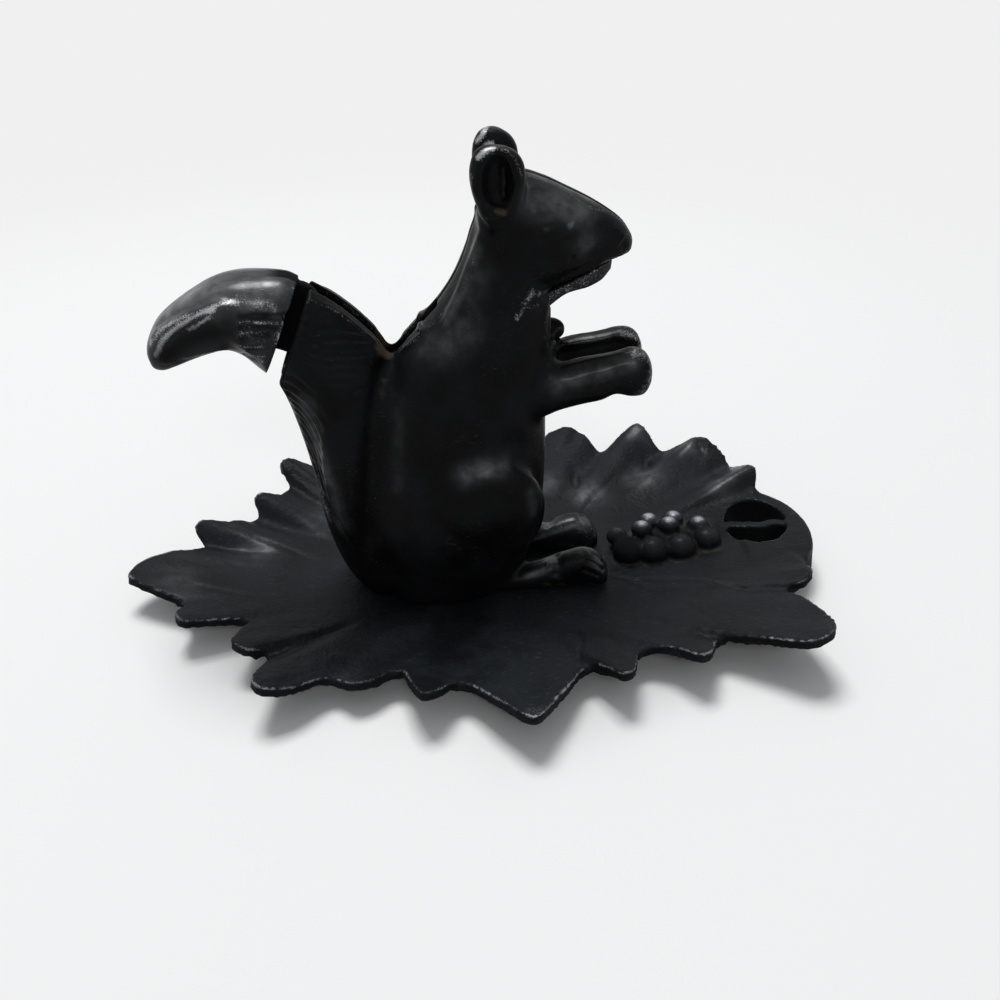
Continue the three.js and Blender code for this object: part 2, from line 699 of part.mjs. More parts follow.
// Leans what stands at the loop so that its top follows the dish
function leantToDish(geometry) {
  const pivotX = loopShares.along * trayHalfLength;
  geometry.translate(-pivotX, 0, -loopTop);
  geometry.rotateY(-loopLean);
  geometry.translate(pivotX, 0, loopTop);
  return solidOf(geometry);
}

function extrudedUp(shape, fromZ, toZ, corner) {
  const geometry = new THREE.ExtrudeGeometry(shape, {
    depth: toZ - fromZ - 2 * corner,
    bevelEnabled: corner > 0,
    bevelSize: corner,
    bevelThickness: corner,
    bevelOffset: -corner,
    bevelSegments: 1,
    curveSegments: 10,
  });
  geometry.translate(0, 0, fromZ + corner);
  return geometry;
}

// The nuts cast on the leaf behind the feet: place in shares. Small ones have their own lift, as a
// share of their radius, and the outer ones sit lower on the heap.
const bigNutShares = [[0.44, 0.03], [0.514, 0.02], [0.6, 0.03], [0.686, 0.08]];
const smallNutShares = [
  [0.415, 0.095, 1.5], [0.49, 0.105, 2], [0.522, 0.175, 1.8], [0.576, 0.125, 2],
  [0.602, 0.205, 1.5], [0.682, 0.205, 0.8], [0.67, 0.145, 1.6],
];
const nutLiftShare = 0.65;
const heapShares = { along: 0.56, across: 0.115, halfLong: 0.165, halfWide: 0.122, rise: 1.35, sink: 0.2 };

function nutCluster() {
  const nuts = bigNutShares.map(([x, y]) => ball(
    [x * trayHalfLength, y * trayHalfDepth, trayFloorTop + nutRadius * nutLiftShare],
    [nutRadius, nutRadius, nutRadius],
    ballSides.nut,
  ));
  for (const [x, y, lift] of smallNutShares) {
    nuts.push(ball(
      [x * trayHalfLength, y * trayHalfDepth, trayFloorTop + smallNutRadius * lift],
      [smallNutRadius, smallNutRadius, smallNutRadius],
      ballSides.smallNut,
    ));
  }
  const { along, across, halfLong, halfWide, rise, sink } = heapShares;
  const heap = ball(
    [along * trayHalfLength, across * trayHalfDepth, trayFloorTop - nutRadius * sink],
    [halfLong * trayHalfLength, halfWide * trayHalfDepth, nutRadius * rise],
    ballSides.nut,
  );
  const aboveLeaf = block([-overrun, -overrun, trayFloorTop - trayWall / 2], [overrun, overrun, overrun]);
  return joined([...nuts, heap]).intersect(aboveLeaf);
}

const padShares = [[-0.44, 0.33], [-0.44, -0.33], [0.44, 0.33], [0.44, -0.33]];

function leafTray() {
  const trayUnder = trayFloorTop - trayWall;
  const opening = solidOf(extrudedUp(openingOutline(), -overrun, overrun, 0));
  const pads = padShares.map(([x, y]) => (
    barAlongZ([x * trayHalfLength, y * trayHalfDepth], padRadius, 0, trayUnder + trayWall / 2, 14)
  ));
  const loop = leantToDish(extrudedUp(loopOutline(), loopTop - loopHeight, loopTop, loopCorner));
  const stem = leantToDish(extrudedUp(stemOutline(), loopTop - loopHeight, loopTop - stemDrop, loopCorner));
  const openLeaf = joined([leafShell(), loop]).subtract(opening);
  const holes = [-1, 1].map((side) => barAlongZ(baseScrewSpot(side), screwHoleRadius, -overrun, overrun));
  return cutBy(joined([openLeaf, stem, nutCluster(), ...pads]), holes);
}

// Assembly
const press = new THREE.Group();
addPiece(press, 'leaf_tray', leafTray(), trayIron);

const figure = new THREE.Group();
figure.position.z = trayFloorTop + seatGap;
press.add(figure);

const form = figureForm();
const hollow = figureHollow();
const room = leverRoom();
addPiece(figure, 'right_half', figureHalf(-1, form, hollow, room), paintedIron);
addPiece(figure, 'left_half', figureHalf(1, form, hollow, room), paintedIron);

const lever = new THREE.Group();
lever.position.set(pivot[0], 0, pivot[1]);
figure.add(lever);
addPiece(lever, 'tail_lever', leverCasting(), leverIron, [-pivot[0], 0, -pivot[1]]);

addPiece(figure, 'pivot_pin', barAlongY([0, 0], pinRadius, -pinHalfLength, pinHalfLength), darkSteel, [
  pivot[0], 0, pivot[1],
]);

for (const { name, placeShare, seatShare } of bodyScrews) {
  const [x, z] = spot(placeShare);
  const seat = seatShare * figureHalfWidth;
  addPiece(figure, name, slottedScrew(seat + bodyScrewGrip), darkSteel, [x, seat + fitGap, z]);
}

for (const [side, name] of [[-1, 'base_screw_right'], [1, 'base_screw_left']]) {
  const [x, y] = baseScrewSpot(side);
  const turned = new THREE.Group();
  turned.position.set(x, y, trayFloorTop - trayWall - fitGap);
  turned.rotation.x = -Math.PI / 2;
  press.add(turned);
  addPiece(turned, name, slottedScrew(trayWall + seatGap + baseScrewGrip), darkSteel);
}

export default press;
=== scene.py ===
import math
import time

import bpy
import numpy as np
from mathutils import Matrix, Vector
from mathutils.bvhtree import BVHTree


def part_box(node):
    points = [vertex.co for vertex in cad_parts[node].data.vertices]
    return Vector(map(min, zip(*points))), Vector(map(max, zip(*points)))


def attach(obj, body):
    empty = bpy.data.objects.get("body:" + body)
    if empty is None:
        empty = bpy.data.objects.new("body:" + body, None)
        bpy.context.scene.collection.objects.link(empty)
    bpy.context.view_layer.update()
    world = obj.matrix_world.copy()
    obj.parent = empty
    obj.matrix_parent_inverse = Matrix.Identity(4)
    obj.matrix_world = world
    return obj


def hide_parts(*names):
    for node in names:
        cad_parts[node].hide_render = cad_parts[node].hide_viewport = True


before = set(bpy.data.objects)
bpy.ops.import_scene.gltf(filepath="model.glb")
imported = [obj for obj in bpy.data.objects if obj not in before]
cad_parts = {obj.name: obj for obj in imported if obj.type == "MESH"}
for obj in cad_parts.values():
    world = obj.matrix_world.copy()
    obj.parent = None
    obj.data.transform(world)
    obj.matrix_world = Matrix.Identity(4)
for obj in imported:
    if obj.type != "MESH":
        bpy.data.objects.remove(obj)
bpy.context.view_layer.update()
started = time.time()
mm = 0.001


def report(stage):
    print(f"{time.time() - started:6.1f} s  {stage}")


# Sizes taken from the frame, in millimetres
def nodeBox(node):
    low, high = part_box(node)
    return np.array(low) / mm, np.array(high) / mm


halfLow, halfHigh = nodeBox("right_half")
trayLow, trayHigh = nodeBox("leaf_tray")
pinLow, pinHigh = nodeBox("pivot_pin")

earTip = 1.003  # The ears' reach over the base, as a share of the squirrel's height
figure = {
    "base": halfLow[2],
    "height": (halfHigh[2] - halfLow[2]) / earTip,
    "halfWidth": 27.0,
    "seam": 0.15,
    "castWall": 4.5,
    "floor": 6.0,
    "creaseRounds": 12,
    "lastRounds": 3,
    "seamGroove": {"deep": 1.1, "wide": 0.75, "facing": (0.75, 0.98)},
}
figureHeight = figure["height"]

# The camera: place in metres, turn in degrees, sensor and lens in millimetres
view = {
    "place": (-0.0236, -0.3611, 0.2647),
    "turn": (58.4, 0.0, -5.0),
    "sensor": 36.0,
    "lens": 39.78,
}


def makeCamera():
    data = bpy.data.cameras.new("camera")
    data.sensor_width = view["sensor"]
    data.lens = view["lens"]
    data.clip_start = 0.01
    data.clip_end = 20
    camera = bpy.data.objects.new("camera", data)
    camera.location = view["place"]
    camera.rotation_euler = [math.radians(turn) for turn in view["turn"]]
    bpy.context.collection.objects.link(camera)
    bpy.context.scene.camera = camera


makeCamera()


# Mesh tools. Work is done on arrays in millimetres
def newObject(name, points, faces):
    mesh = bpy.data.meshes.new(name)
    mesh.from_pydata((np.asarray(points) * mm).tolist(), [], faces)
    obj = bpy.data.objects.new(name, mesh)
    bpy.context.collection.objects.link(obj)
    return obj


def dropObject(obj):
    mesh = obj.data
    bpy.data.objects.remove(obj)
    bpy.data.meshes.remove(mesh)


def settle(obj):
    graph = bpy.context.evaluated_depsgraph_get()
    mesh = bpy.data.meshes.new_from_object(obj.evaluated_get(graph))
    old = obj.data
    obj.modifiers.clear()
    obj.data = mesh
    bpy.data.meshes.remove(old)


def copyOf(obj):
    twin = obj.copy()
    twin.data = obj.data.copy()
    bpy.context.collection.objects.link(twin)
    return twin


# Each casting's voxel in millimetres and its rounds of smoothing
casting = {"form": (0.9, 4), "half": (0.6, 2), "lever": (0.5, 3), "leaf": (0.9, 8), "tray": (0.75, 12)}


def recast(obj, kind):
    voxel, rounds = casting[kind]
    modifier = obj.modifiers.new("remesh", "REMESH")
    modifier.mode = "VOXEL"
    modifier.voxel_size = voxel * mm
    settle(obj)
    relax(obj, rounds)


def cutBy(obj, tool, operation="DIFFERENCE"):
    modifier = obj.modifiers.new("cut", "BOOLEAN")
    modifier.object = tool
    modifier.operation = operation
    modifier.solver = "MANIFOLD"
    settle(obj)
    dropObject(tool)


def joinObjects(name, parts):
    points, faces, start = [], [], 0
    for part in parts:
        points.append(pointsOf(part))
        faces += [[start + corner for corner in face.vertices] for face in part.data.polygons]
        start += len(part.data.vertices)
        dropObject(part)
    return newObject(name, np.concatenate(points), faces)


def readOut(items, name, width, kind=np.float64):
    flat = np.empty(len(items) * width, dtype=kind)
    items.foreach_get(name, flat)
    return flat.reshape(-1, width)


def pointsOf(obj):
    return readOut(obj.data.vertices, "co", 3) / mm


def normalsOf(obj):
    return readOut(obj.data.vertices, "normal", 3)


def edgesOf(obj):
    return readOut(obj.data.edges, "vertices", 2, np.int32)


def setPoints(obj, points):
    obj.data.vertices.foreach_set("co", (points * mm).astype(np.float32).ravel())
    obj.data.update()


def pushOut(obj, lift):
    setPoints(obj, pointsOf(obj) + lift[:, None] * normalsOf(obj))


def neighbourMean(values, edges):
    count = np.maximum(np.bincount(edges.ravel(), minlength=len(values)), 1)
    columns = values.reshape(len(values), -1)
    total = np.empty_like(columns)
    for axis in range(columns.shape[1]):
        one = np.bincount(edges[:, 0], columns[edges[:, 1], axis], minlength=len(values))
        two = np.bincount(edges[:, 1], columns[edges[:, 0], axis], minlength=len(values))
        total[:, axis] = (one + two) / count
    return total.reshape(values.shape)


# Smooths without shrinking: one step in, one slightly larger step out
def relax(obj, rounds):
    points, edges = pointsOf(obj), edgesOf(obj)
    for _ in range(rounds):
        for share in (0.5, -0.52):
            points = points + share * (neighbourMean(points, edges) - points)
    setPoints(obj, points)


# Rounds inner corners as a casting has them, and leaves outer edges alone
def fillCreases(obj, rounds, share=0.6):
    edges = edgesOf(obj)
    for _ in range(rounds):
        points = pointsOf(obj)
        lift = ((neighbourMean(points, edges) - points) * normalsOf(obj)).sum(axis=1)
        pushOut(obj, share * np.maximum(lift, 0))


def soften(obj, rounds, where):
    points, edges = pointsOf(obj), edgesOf(obj)
    for _ in range(rounds):
        points = points + 0.5 * where[:, None] * (neighbourMean(points, edges) - points)
    setPoints(obj, points)


def smoothStep(low, high, value):
    t = np.clip((value - low) / (high - low), 0, 1)
    return t * t * (3 - 2 * t)


def bell(distance, width):
    return np.exp(-((distance / width) ** 2))


# A smooth curve through chosen points, at even steps from point to point
def curveThrough(chosen, count, closed=False):
    chosen = np.asarray(chosen, dtype=float)
    if closed:
        spans = len(chosen)
        padded = np.vstack([chosen[-1:], chosen, chosen[:2]])
    else:
        spans = len(chosen) - 1
        padded = np.vstack([2 * chosen[0] - chosen[1], chosen, 2 * chosen[-1] - chosen[-2]])
    places = np.linspace(0, spans, count, endpoint=not closed)
    span = np.minimum(places.astype(int), spans - 1)
    t = (places - span)[:, None]
    p0, p1, p2, p3 = (padded[span + k] for k in range(4))
    d0, d1, d2 = (
        np.maximum(((b - a) ** 2).sum(axis=1, keepdims=True) ** 0.25, 1e-4)
        for a, b in ((p0, p1), (p1, p2), (p2, p3))
    )
    leave = ((p1 - p0) / d0 - (p2 - p0) / (d0 + d1) + (p2 - p1) / d1) * d1
    arrive = ((p2 - p1) / d1 - (p3 - p1) / (d1 + d2) + (p3 - p2) / d2) * d1
    return (
        p1
        + leave * t
        + (3 * (p2 - p1) - 2 * leave - arrive) * t**2
        + (2 * (p1 - p2) + leave + arrive) * t**3
    )


def distanceTo(points, path):
    best = np.full(len(points), np.inf)
    along = np.zeros(len(points))
    steps = np.linalg.norm(np.diff(path, axis=0), axis=1)
    reached, total = 0.0, steps.sum()
    for start, end, step in zip(path[:-1], path[1:], steps):
        t = np.clip(((points - start) @ (end - start)) / max(step * step, 1e-9), 0, 1)
        distance = np.linalg.norm(points - start - t[:, None] * (end - start), axis=1)
        nearer = distance < best
        best[nearer] = distance[nearer]
        along[nearer] = (reached + t[nearer] * step) / total
        reached += step
    return best, along


# The points within reach of a path, with their distance from it and place along it
def closeTo(points, path, reach):
    low, high = path.min(axis=0) - reach, path.max(axis=0) + reach
    near = np.flatnonzero(((points > low) & (points < high)).all(axis=1))
    return near, *distanceTo(points[near], path)


# Lines carved into a form or raised on it: path, half width and height in millimetres
def carve(obj, lines, taper=0.18):
    points = pointsOf(obj)
    lift = np.zeros(len(points))
    for line, width, rise in lines:
        near, distance, along = closeTo(points, curveThrough(line, 6 * len(line)), 2.6 * width)
        ends = smoothStep(0, taper, along) * (1 - smoothStep(1 - taper, 1, along))
        lift[near] += rise * bell(distance, width) * ends
    pushOut(obj, lift)


# A closed skin over rings of points, with a fan at each end
def skinOver(name, rings):
    rings = np.asarray(rings)
    count, sides = rings.shape[:2]
    points = np.vstack([rings.reshape(-1, 3), rings[0].mean(axis=0), rings[-1].mean(axis=0)])
    faces = []
    for r in range(count - 1):
        for i in range(sides):
            a, b = r * sides + i, r * sides + (i + 1) % sides
            faces.append([a, b, b + sides, a + sides])
    first, last, end = count * sides, count * sides + 1, (count - 1) * sides
    for i in range(sides):
        j = (i + 1) % sides
        faces.append([first, j, i])
        faces.append([last, end + i, end + j])
    turned = np.array([face[:3] for face in faces])
    a, b, c = (points[turned[:, k]] for k in range(3))
    if (a * np.cross(b, c)).sum() < 0:
        faces = [face[::-1] for face in faces]
    return newObject(name, points, faces)


# A loft through ribs [lowX, lowZ, highX, highZ, half] in millimetres
def loft(name, ribs, steps=90, sides=72, sideways=0.0, fullness=1.0):
    ribs = np.asarray(ribs, dtype=float)
    low = curveThrough(ribs[:, 0:2], steps)
    high = curveThrough(ribs[:, 2:4], steps)
    half = curveThrough(ribs[:, 4:5], steps)[:, 0]
    angle = 2 * np.pi * (np.arange(sides) + 0.5) / sides
    along = np.sign(np.cos(angle)) * np.abs(np.cos(angle)) ** fullness
    across = np.sign(np.sin(angle)) * np.abs(np.sin(angle)) ** fullness
    mix = (1 + along)[None, :, None] / 2
    plan = low[:, None, :] * (1 - mix) + high[:, None, :] * mix
    rings = np.empty((steps, sides, 3))
    rings[:, :, 0] = plan[:, :, 0]
    rings[:, :, 1] = sideways + half[:, None] * across[None, :]
    rings[:, :, 2] = plan[:, :, 1]
    return skinOver(name, rings)


def blob(name, centre, halves, lean=0.0, sides=48):
    up = np.linspace(0, np.pi, sides // 2 + 1)[1:-1]
    turn = 2 * np.pi * np.arange(sides) / sides
    ring = np.stack([
        np.sin(up)[:, None] * np.cos(turn)[None, :],
        np.sin(up)[:, None] * np.sin(turn)[None, :],
        np.cos(up)[:, None] * np.ones(sides)[None, :],
    ], axis=-1) * np.asarray(halves)
    turned = ring.copy()
    turned[..., 0] = ring[..., 0] * math.cos(lean) + ring[..., 2] * math.sin(lean)
    turned[..., 2] = -ring[..., 0] * math.sin(lean) + ring[..., 2] * math.cos(lean)
    return skinOver(name, turned + np.asarray(centre))


# Where each axis keeps the two directions across it and its own
axes = {"y": (0, 2, 1), "z": (0, 1, 2)}


def rodAlong(name, axis, centre, radius, start, end, sides=48):
    angle = 2 * np.pi * np.arange(sides) / sides
    first, second, along = axes[axis]
    rings = np.zeros((2, sides, 3))
    for k, place in enumerate((start, end)):
        rings[k, :, first] = centre[0] + radius * np.cos(angle)
        rings[k, :, second] = centre[1] + radius * np.sin(angle)
        rings[k, :, along] = place
    return skinOver(name, rings)


# An outline drawn out along an axis
def prism(name, outline, axis, low, high):
    outline = np.asarray(outline)
    first, second, along = axes[axis]
    count = len(outline)
    rings = np.zeros((2, count, 3))
    rings[:, :, first], rings[:, :, second] = outline[:, 0], outline[:, 1]
    rings[0, :, along], rings[1, :, along] = low, high
    faces = [[i, (i + 1) % count, count + (i + 1) % count, count + i] for i in range(count)]
    faces += [list(range(count))[::-1], list(range(count, 2 * count))]
    x, z = outline[:, 0], outline[:, 1]
    turnsLeft = (x * np.roll(z, -1) - z * np.roll(x, -1)).sum() > 0
    if turnsLeft == (axis == "y"):
        faces = [face[::-1] for face in faces]
    return newObject(name, rings.reshape(-1, 3), faces)


def plate(name, outline, half):
    return prism(name, outline, "y", -half, half)


def block(name, low, high):
    corners = [[(low, high)[i][0], (low, high)[j][1], (low, high)[k][2]]
               for i in (0, 1) for j in (0, 1) for k in (0, 1)]
    faces = [[0, 1, 3, 2], [4, 6, 7, 5], [0, 4, 5, 1], [2, 3, 7, 6], [0, 2, 6, 4], [1, 5, 7, 3]]
    return newObject(name, corners, faces)


# Places on the squirrel are shares of its height, widths are shares of its half width
def spot(share):
    return np.array([share[0] * figureHeight, figure["base"] + share[1] * figureHeight])


def spots(shares):
    return np.array([spot(share) for share in shares])


def ribsFrom(shares):
    ribs = np.array(shares, dtype=float)
    ribs[:, :4] *= figureHeight
    ribs[:, [1, 3]] += figure["base"]
    ribs[:, 4] *= figure["halfWidth"]
    return ribs


trunk = {
    "ribs": [
        [-0.247, 0.0, 0.08, 0.0, 0.9],
        [-0.253, 0.09, 0.12, 0.09, 0.97],
        [-0.254, 0.21, 0.143, 0.21, 1.0],
        [-0.245, 0.33, 0.147, 0.33, 0.96],
        [-0.225, 0.445, 0.148, 0.445, 0.9],
        [-0.208, 0.53, 0.166, 0.535, 0.83],
        [-0.15, 0.603, 0.162, 0.61, 0.74],
        [-0.077, 0.685, 0.16, 0.68, 0.64],
        [-0.033, 0.76, 0.14, 0.74, 0.56],
        [-0.01, 0.83, 0.12, 0.785, 0.52],
        [0.008, 0.872, 0.1, 0.835, 0.44],
    ],
}
head = {
    "ribs": [
        [0.012, 0.77, 0.012, 0.87, 0.36],
        [0.03, 0.715, 0.04, 0.908, 0.5],
        [0.085, 0.7, 0.085, 0.936, 0.55],
        [0.125, 0.7, 0.13, 0.925, 0.55],
        [0.167, 0.711, 0.178, 0.903, 0.5],
        [0.212, 0.726, 0.226, 0.879, 0.42],
        [0.252, 0.745, 0.265, 0.855, 0.34],
        [0.286, 0.757, 0.292, 0.834, 0.27],
        [0.304, 0.762, 0.308, 0.813, 0.18],
        [0.312, 0.772, 0.315, 0.798, 0.08],
    ],
    "fullness": 0.82,
    "skullFloor": [[0.041, 0.716], [0.13, 0.716], [0.274, 0.776]],
}
ear = {
    "ribs": [
        [0.03, 0.828, 0.062, 0.828, 0.07],
        [-0.002, 0.885, 0.087, 0.885, 0.18],
        [-0.016, 0.935, 0.091, 0.935, 0.19],
        [-0.014, 0.973, 0.085, 0.971, 0.17],
        [-0.002, 0.995, 0.071, 0.99, 0.13],
        [0.016, 1.003, 0.052, 1.0, 0.07],
    ],
    "side": 0.43,
    "leftInset": 0.014,
    "cup": {"place": [0.036, 0.938], "half": [0.033, 0.056], "depth": 0.22, "face": 0.2, "inset": 0.6},
}
arm = {
    "ribs": [
        [0.08, 0.42, 0.07, 0.575, 0.27],
        [0.13, 0.43, 0.13, 0.575, 0.29],
        [0.165, 0.445, 0.165, 0.553, 0.26],
        [0.215, 0.457, 0.215, 0.562, 0.23],
        [0.26, 0.466, 0.26, 0.568, 0.22],
        [0.285, 0.478, 0.285, 0.573, 0.215],
        [0.322, 0.472, 0.322, 0.581, 0.25],
        [0.347, 0.476, 0.347, 0.57, 0.23],
        [0.361, 0.5, 0.361, 0.545, 0.13],
    ],
    "side": 0.35,
    # Each foreleg is cast open on its inner side
    "hollow": [
        [0.172, 0.462, 0.172, 0.54, 0.1], [0.18, 0.463, 0.18, 0.545, 0.15],
        [0.225, 0.47, 0.225, 0.551, 0.15], [0.27, 0.481, 0.27, 0.557, 0.15],
        [0.31, 0.488, 0.31, 0.565, 0.15], [0.338, 0.49, 0.338, 0.561, 0.14],
        [0.348, 0.505, 0.348, 0.549, 0.08],
    ],
    "hollowSide": 0.18,
    # The left shoulder stands out past the chest: place in shares, the rest in millimetres
    "shoulder": {"place": [0.16, 0.582], "across": 9.0, "halves": [5.4, 4.5, 4.2]},
}
foot = {
    "ribs": [
        [-0.09, 0.0, -0.09, 0.03, 0.16],
        [-0.02, 0.0, -0.02, 0.05, 0.2],
        [0.06, 0.0, 0.06, 0.045, 0.2],
        [0.13, 0.0, 0.13, 0.06, 0.2],
        [0.19, 0.0, 0.19, 0.082, 0.21],
        [0.235, 0.0, 0.235, 0.092, 0.22],
        [0.27, 0.0, 0.27, 0.076, 0.2],
        [0.289, 0.004, 0.289, 0.045, 0.13],
    ],
    "side": 0.46,
}
haunch = {
    # The thigh itself, and the shelf that its upper front stands out as
    "bulges": [
        {"place": [-0.036, 0.2], "halves": [0.185, 0.36, 0.145], "side": 0.72, "lean": -0.62},
        {"place": [-0.004, 0.25], "halves": [0.13, 0.33, 0.114], "side": 0.81, "lean": -0.35},
    ],
    # It runs out into the body towards its back and foot
    "runOut": [[-0.2, 0.2], [-0.17, 0.11], [-0.1, 0.075], [-0.02, 0.07]],
    "runOutReach": 17.0,
    "runOutRounds": 110,
}
tail = {
    "ribs": [
        [-0.272, 0.0, -0.16, 0.0, 0.56],
        [-0.307, 0.045, -0.16, 0.06, 0.6],
        [-0.343, 0.15, -0.165, 0.165, 0.64],
        [-0.365, 0.3, -0.165, 0.31, 0.68],
        [-0.384, 0.4, -0.158, 0.43, 0.69],
        [-0.407, 0.485, -0.165, 0.535, 0.68],
        [-0.422, 0.52, -0.189, 0.584, 0.65],
        [-0.434, 0.545, -0.235, 0.642, 0.6],
        [-0.445, 0.56, -0.288, 0.69, 0.57],
        [-0.46, 0.575, -0.345, 0.727, 0.54],
    ],
    "cut": [[-0.422, 0.502], [-0.313, 0.777], [-0.6, 0.777], [-0.6, 0.502]],
    # The valley between tail and back is wide and soft
    "valley": [[-0.185, 0.5], [-0.19, 0.4], [-0.2, 0.3], [-0.205, 0.2], [-0.21, 0.1]],
    "valleyReach": 11.0,
    "valleyRounds": 40,
    "valleyFrom": (3, 7),
}
lever = {
    "handle": [
        [-0.441, 0.536, -0.358, 0.732, 0.46],
        [-0.455, 0.552, -0.38, 0.742, 0.51],
        [-0.4845, 0.583, -0.428, 0.747, 0.53],
        [-0.511, 0.594, -0.478, 0.747, 0.52],
        [-0.549, 0.586, -0.527, 0.736, 0.49],
        [-0.588, 0.572, -0.575, 0.711, 0.45],
        [-0.62, 0.559, -0.617, 0.683, 0.4],
        [-0.646, 0.55, -0.65, 0.653, 0.33],
        [-0.663, 0.553, -0.67, 0.617, 0.24],
        [-0.672, 0.564, -0.677, 0.592, 0.11],
    ],
    "blade": [
        [0.035, 0.625, 0.058, 0.69],
        [-0.035, 0.56, 0.0, 0.632],
        [-0.106, 0.505, -0.082, 0.582],
        [-0.188, 0.476, -0.188, 0.553],
        [-0.27, 0.495, -0.276, 0.6],
        [-0.342, 0.552, -0.335, 0.716],
        [-0.452, 0.6, -0.405, 0.733],
    ],
    "jaw": [
        [0.03, 0.616, 0.045, 0.701, 0.9],
        [0.09, 0.616, 0.08, 0.698, 1.0],
        [0.15, 0.672, 0.13, 0.701, 1.0],
        [0.18, 0.695, 0.172, 0.718, 1.0],
        [0.224, 0.706, 0.22, 0.742, 0.94],
        [0.252, 0.719, 0.254, 0.757, 0.78],
        [0.271, 0.738, 0.273, 0.763, 0.5],
    ],
    "fullness": 0.82,
    "jawFullness": 0.4,
    # The open end of the handle is hollowed round its tang
    "recess": [[-0.43, 0.552, -0.34, 0.72, 0.34], [-0.455, 0.572, -0.388, 0.724, 0.38],
        [-0.478, 0.598, -0.42, 0.722, 0.32]],
    # Ridges and grooves of the handle: places in shares, half width and height
    "relief": {
        "ridgeA": ([[-0.66, 0.618], [-0.64, 0.645], [-0.621, 0.659], [-0.603, 0.67], [-0.584, 0.68],
            [-0.56, 0.692]], 1.6, 1.0),
        "ridgeB": ([[-0.648, 0.612], [-0.62, 0.643], [-0.595, 0.665], [-0.571, 0.68], [-0.548, 0.693],
            [-0.525, 0.702], [-0.501, 0.71], [-0.478, 0.716]], 1.9, 1.6),
        "betweenB": ([[-0.638, 0.612], [-0.612, 0.64], [-0.585, 0.66], [-0.56, 0.675], [-0.53, 0.69],
            [-0.505, 0.699]], 1.3, -0.9),
        "ridgeC": ([[-0.575, 0.655], [-0.552, 0.672], [-0.531, 0.684], [-0.51, 0.695], [-0.49, 0.705],
            [-0.471, 0.714]], 1.6, 1.2),
        "face": ([[-0.636, 0.592], [-0.61, 0.616], [-0.583, 0.636], [-0.554, 0.652], [-0.525, 0.664],
            [-0.505, 0.674]], 5.0, -2.0),
        "collar": ([[-0.471, 0.71], [-0.487, 0.698], [-0.497, 0.681], [-0.493, 0.661], [-0.481, 0.641],
            [-0.464, 0.622], [-0.441, 0.605]], 2.4, 1.1),
        "groove1": ([[-0.468, 0.688], [-0.442, 0.686], [-0.42, 0.684], [-0.4, 0.68], [-0.38, 0.676]],
            1.6, -1.7),
        "groove2": ([[-0.475, 0.671], [-0.449, 0.663], [-0.423, 0.659], [-0.395, 0.655]], 1.8, -1.8),
        "groove3": ([[-0.473, 0.643], [-0.444, 0.641], [-0.421, 0.643], [-0.4, 0.639]], 1.7, -1.6),
        "ripple1": ([[-0.465, 0.62], [-0.44, 0.612], [-0.418, 0.61]], 0.9, -0.8),
        "ripple2": ([[-0.479, 0.603], [-0.457, 0.588], [-0.435, 0.585]], 0.9, -0.7),
        "between1": ([[-0.468, 0.678], [-0.442, 0.675], [-0.42, 0.672], [-0.392, 0.668]], 1.1, 0.9),
        "under": ([[-0.656, 0.588], [-0.633, 0.587], [-0.606, 0.592], [-0.577, 0.6], [-0.546, 0.608],
            [-0.521, 0.612], [-0.5, 0.603]], 1.4, 0.7),
    },
    "bladeHalf": 2.5,
    "slotHalf": 3.5,
    "jawHalf": 7.5,
    "throatHalf": 8.2,
    "biteGap": 0.45,
    "pivot": [0.041, 0.658],
    "bossRadius": 8.0,
    "bossRoom": 9.4,
    "pinHole": 3.8,
    "pinReach": 12.9,
    "bite": [[0.15, 0.709], [0.25, 0.755]],
    "toothPitch": 3.6,
    "toothDepth": 1.1,
    "throat": [[0.041, 0.716], [-0.012, 0.58], [0.14, 0.58], [0.19, 0.59], [0.42, 0.59], [0.42, 0.81]],
    "slot": [
        [0.06, 0.57], [0.06, 0.69], [-0.04, 0.69], [-0.082, 0.673], [-0.11, 0.86], [-0.5, 0.86],
        [-0.5, 0.52], [-0.4, 0.47], [-0.188, 0.44], [-0.03, 0.52],
    ],
}
overrun = 240.0
pivot = spot(lever["pivot"])

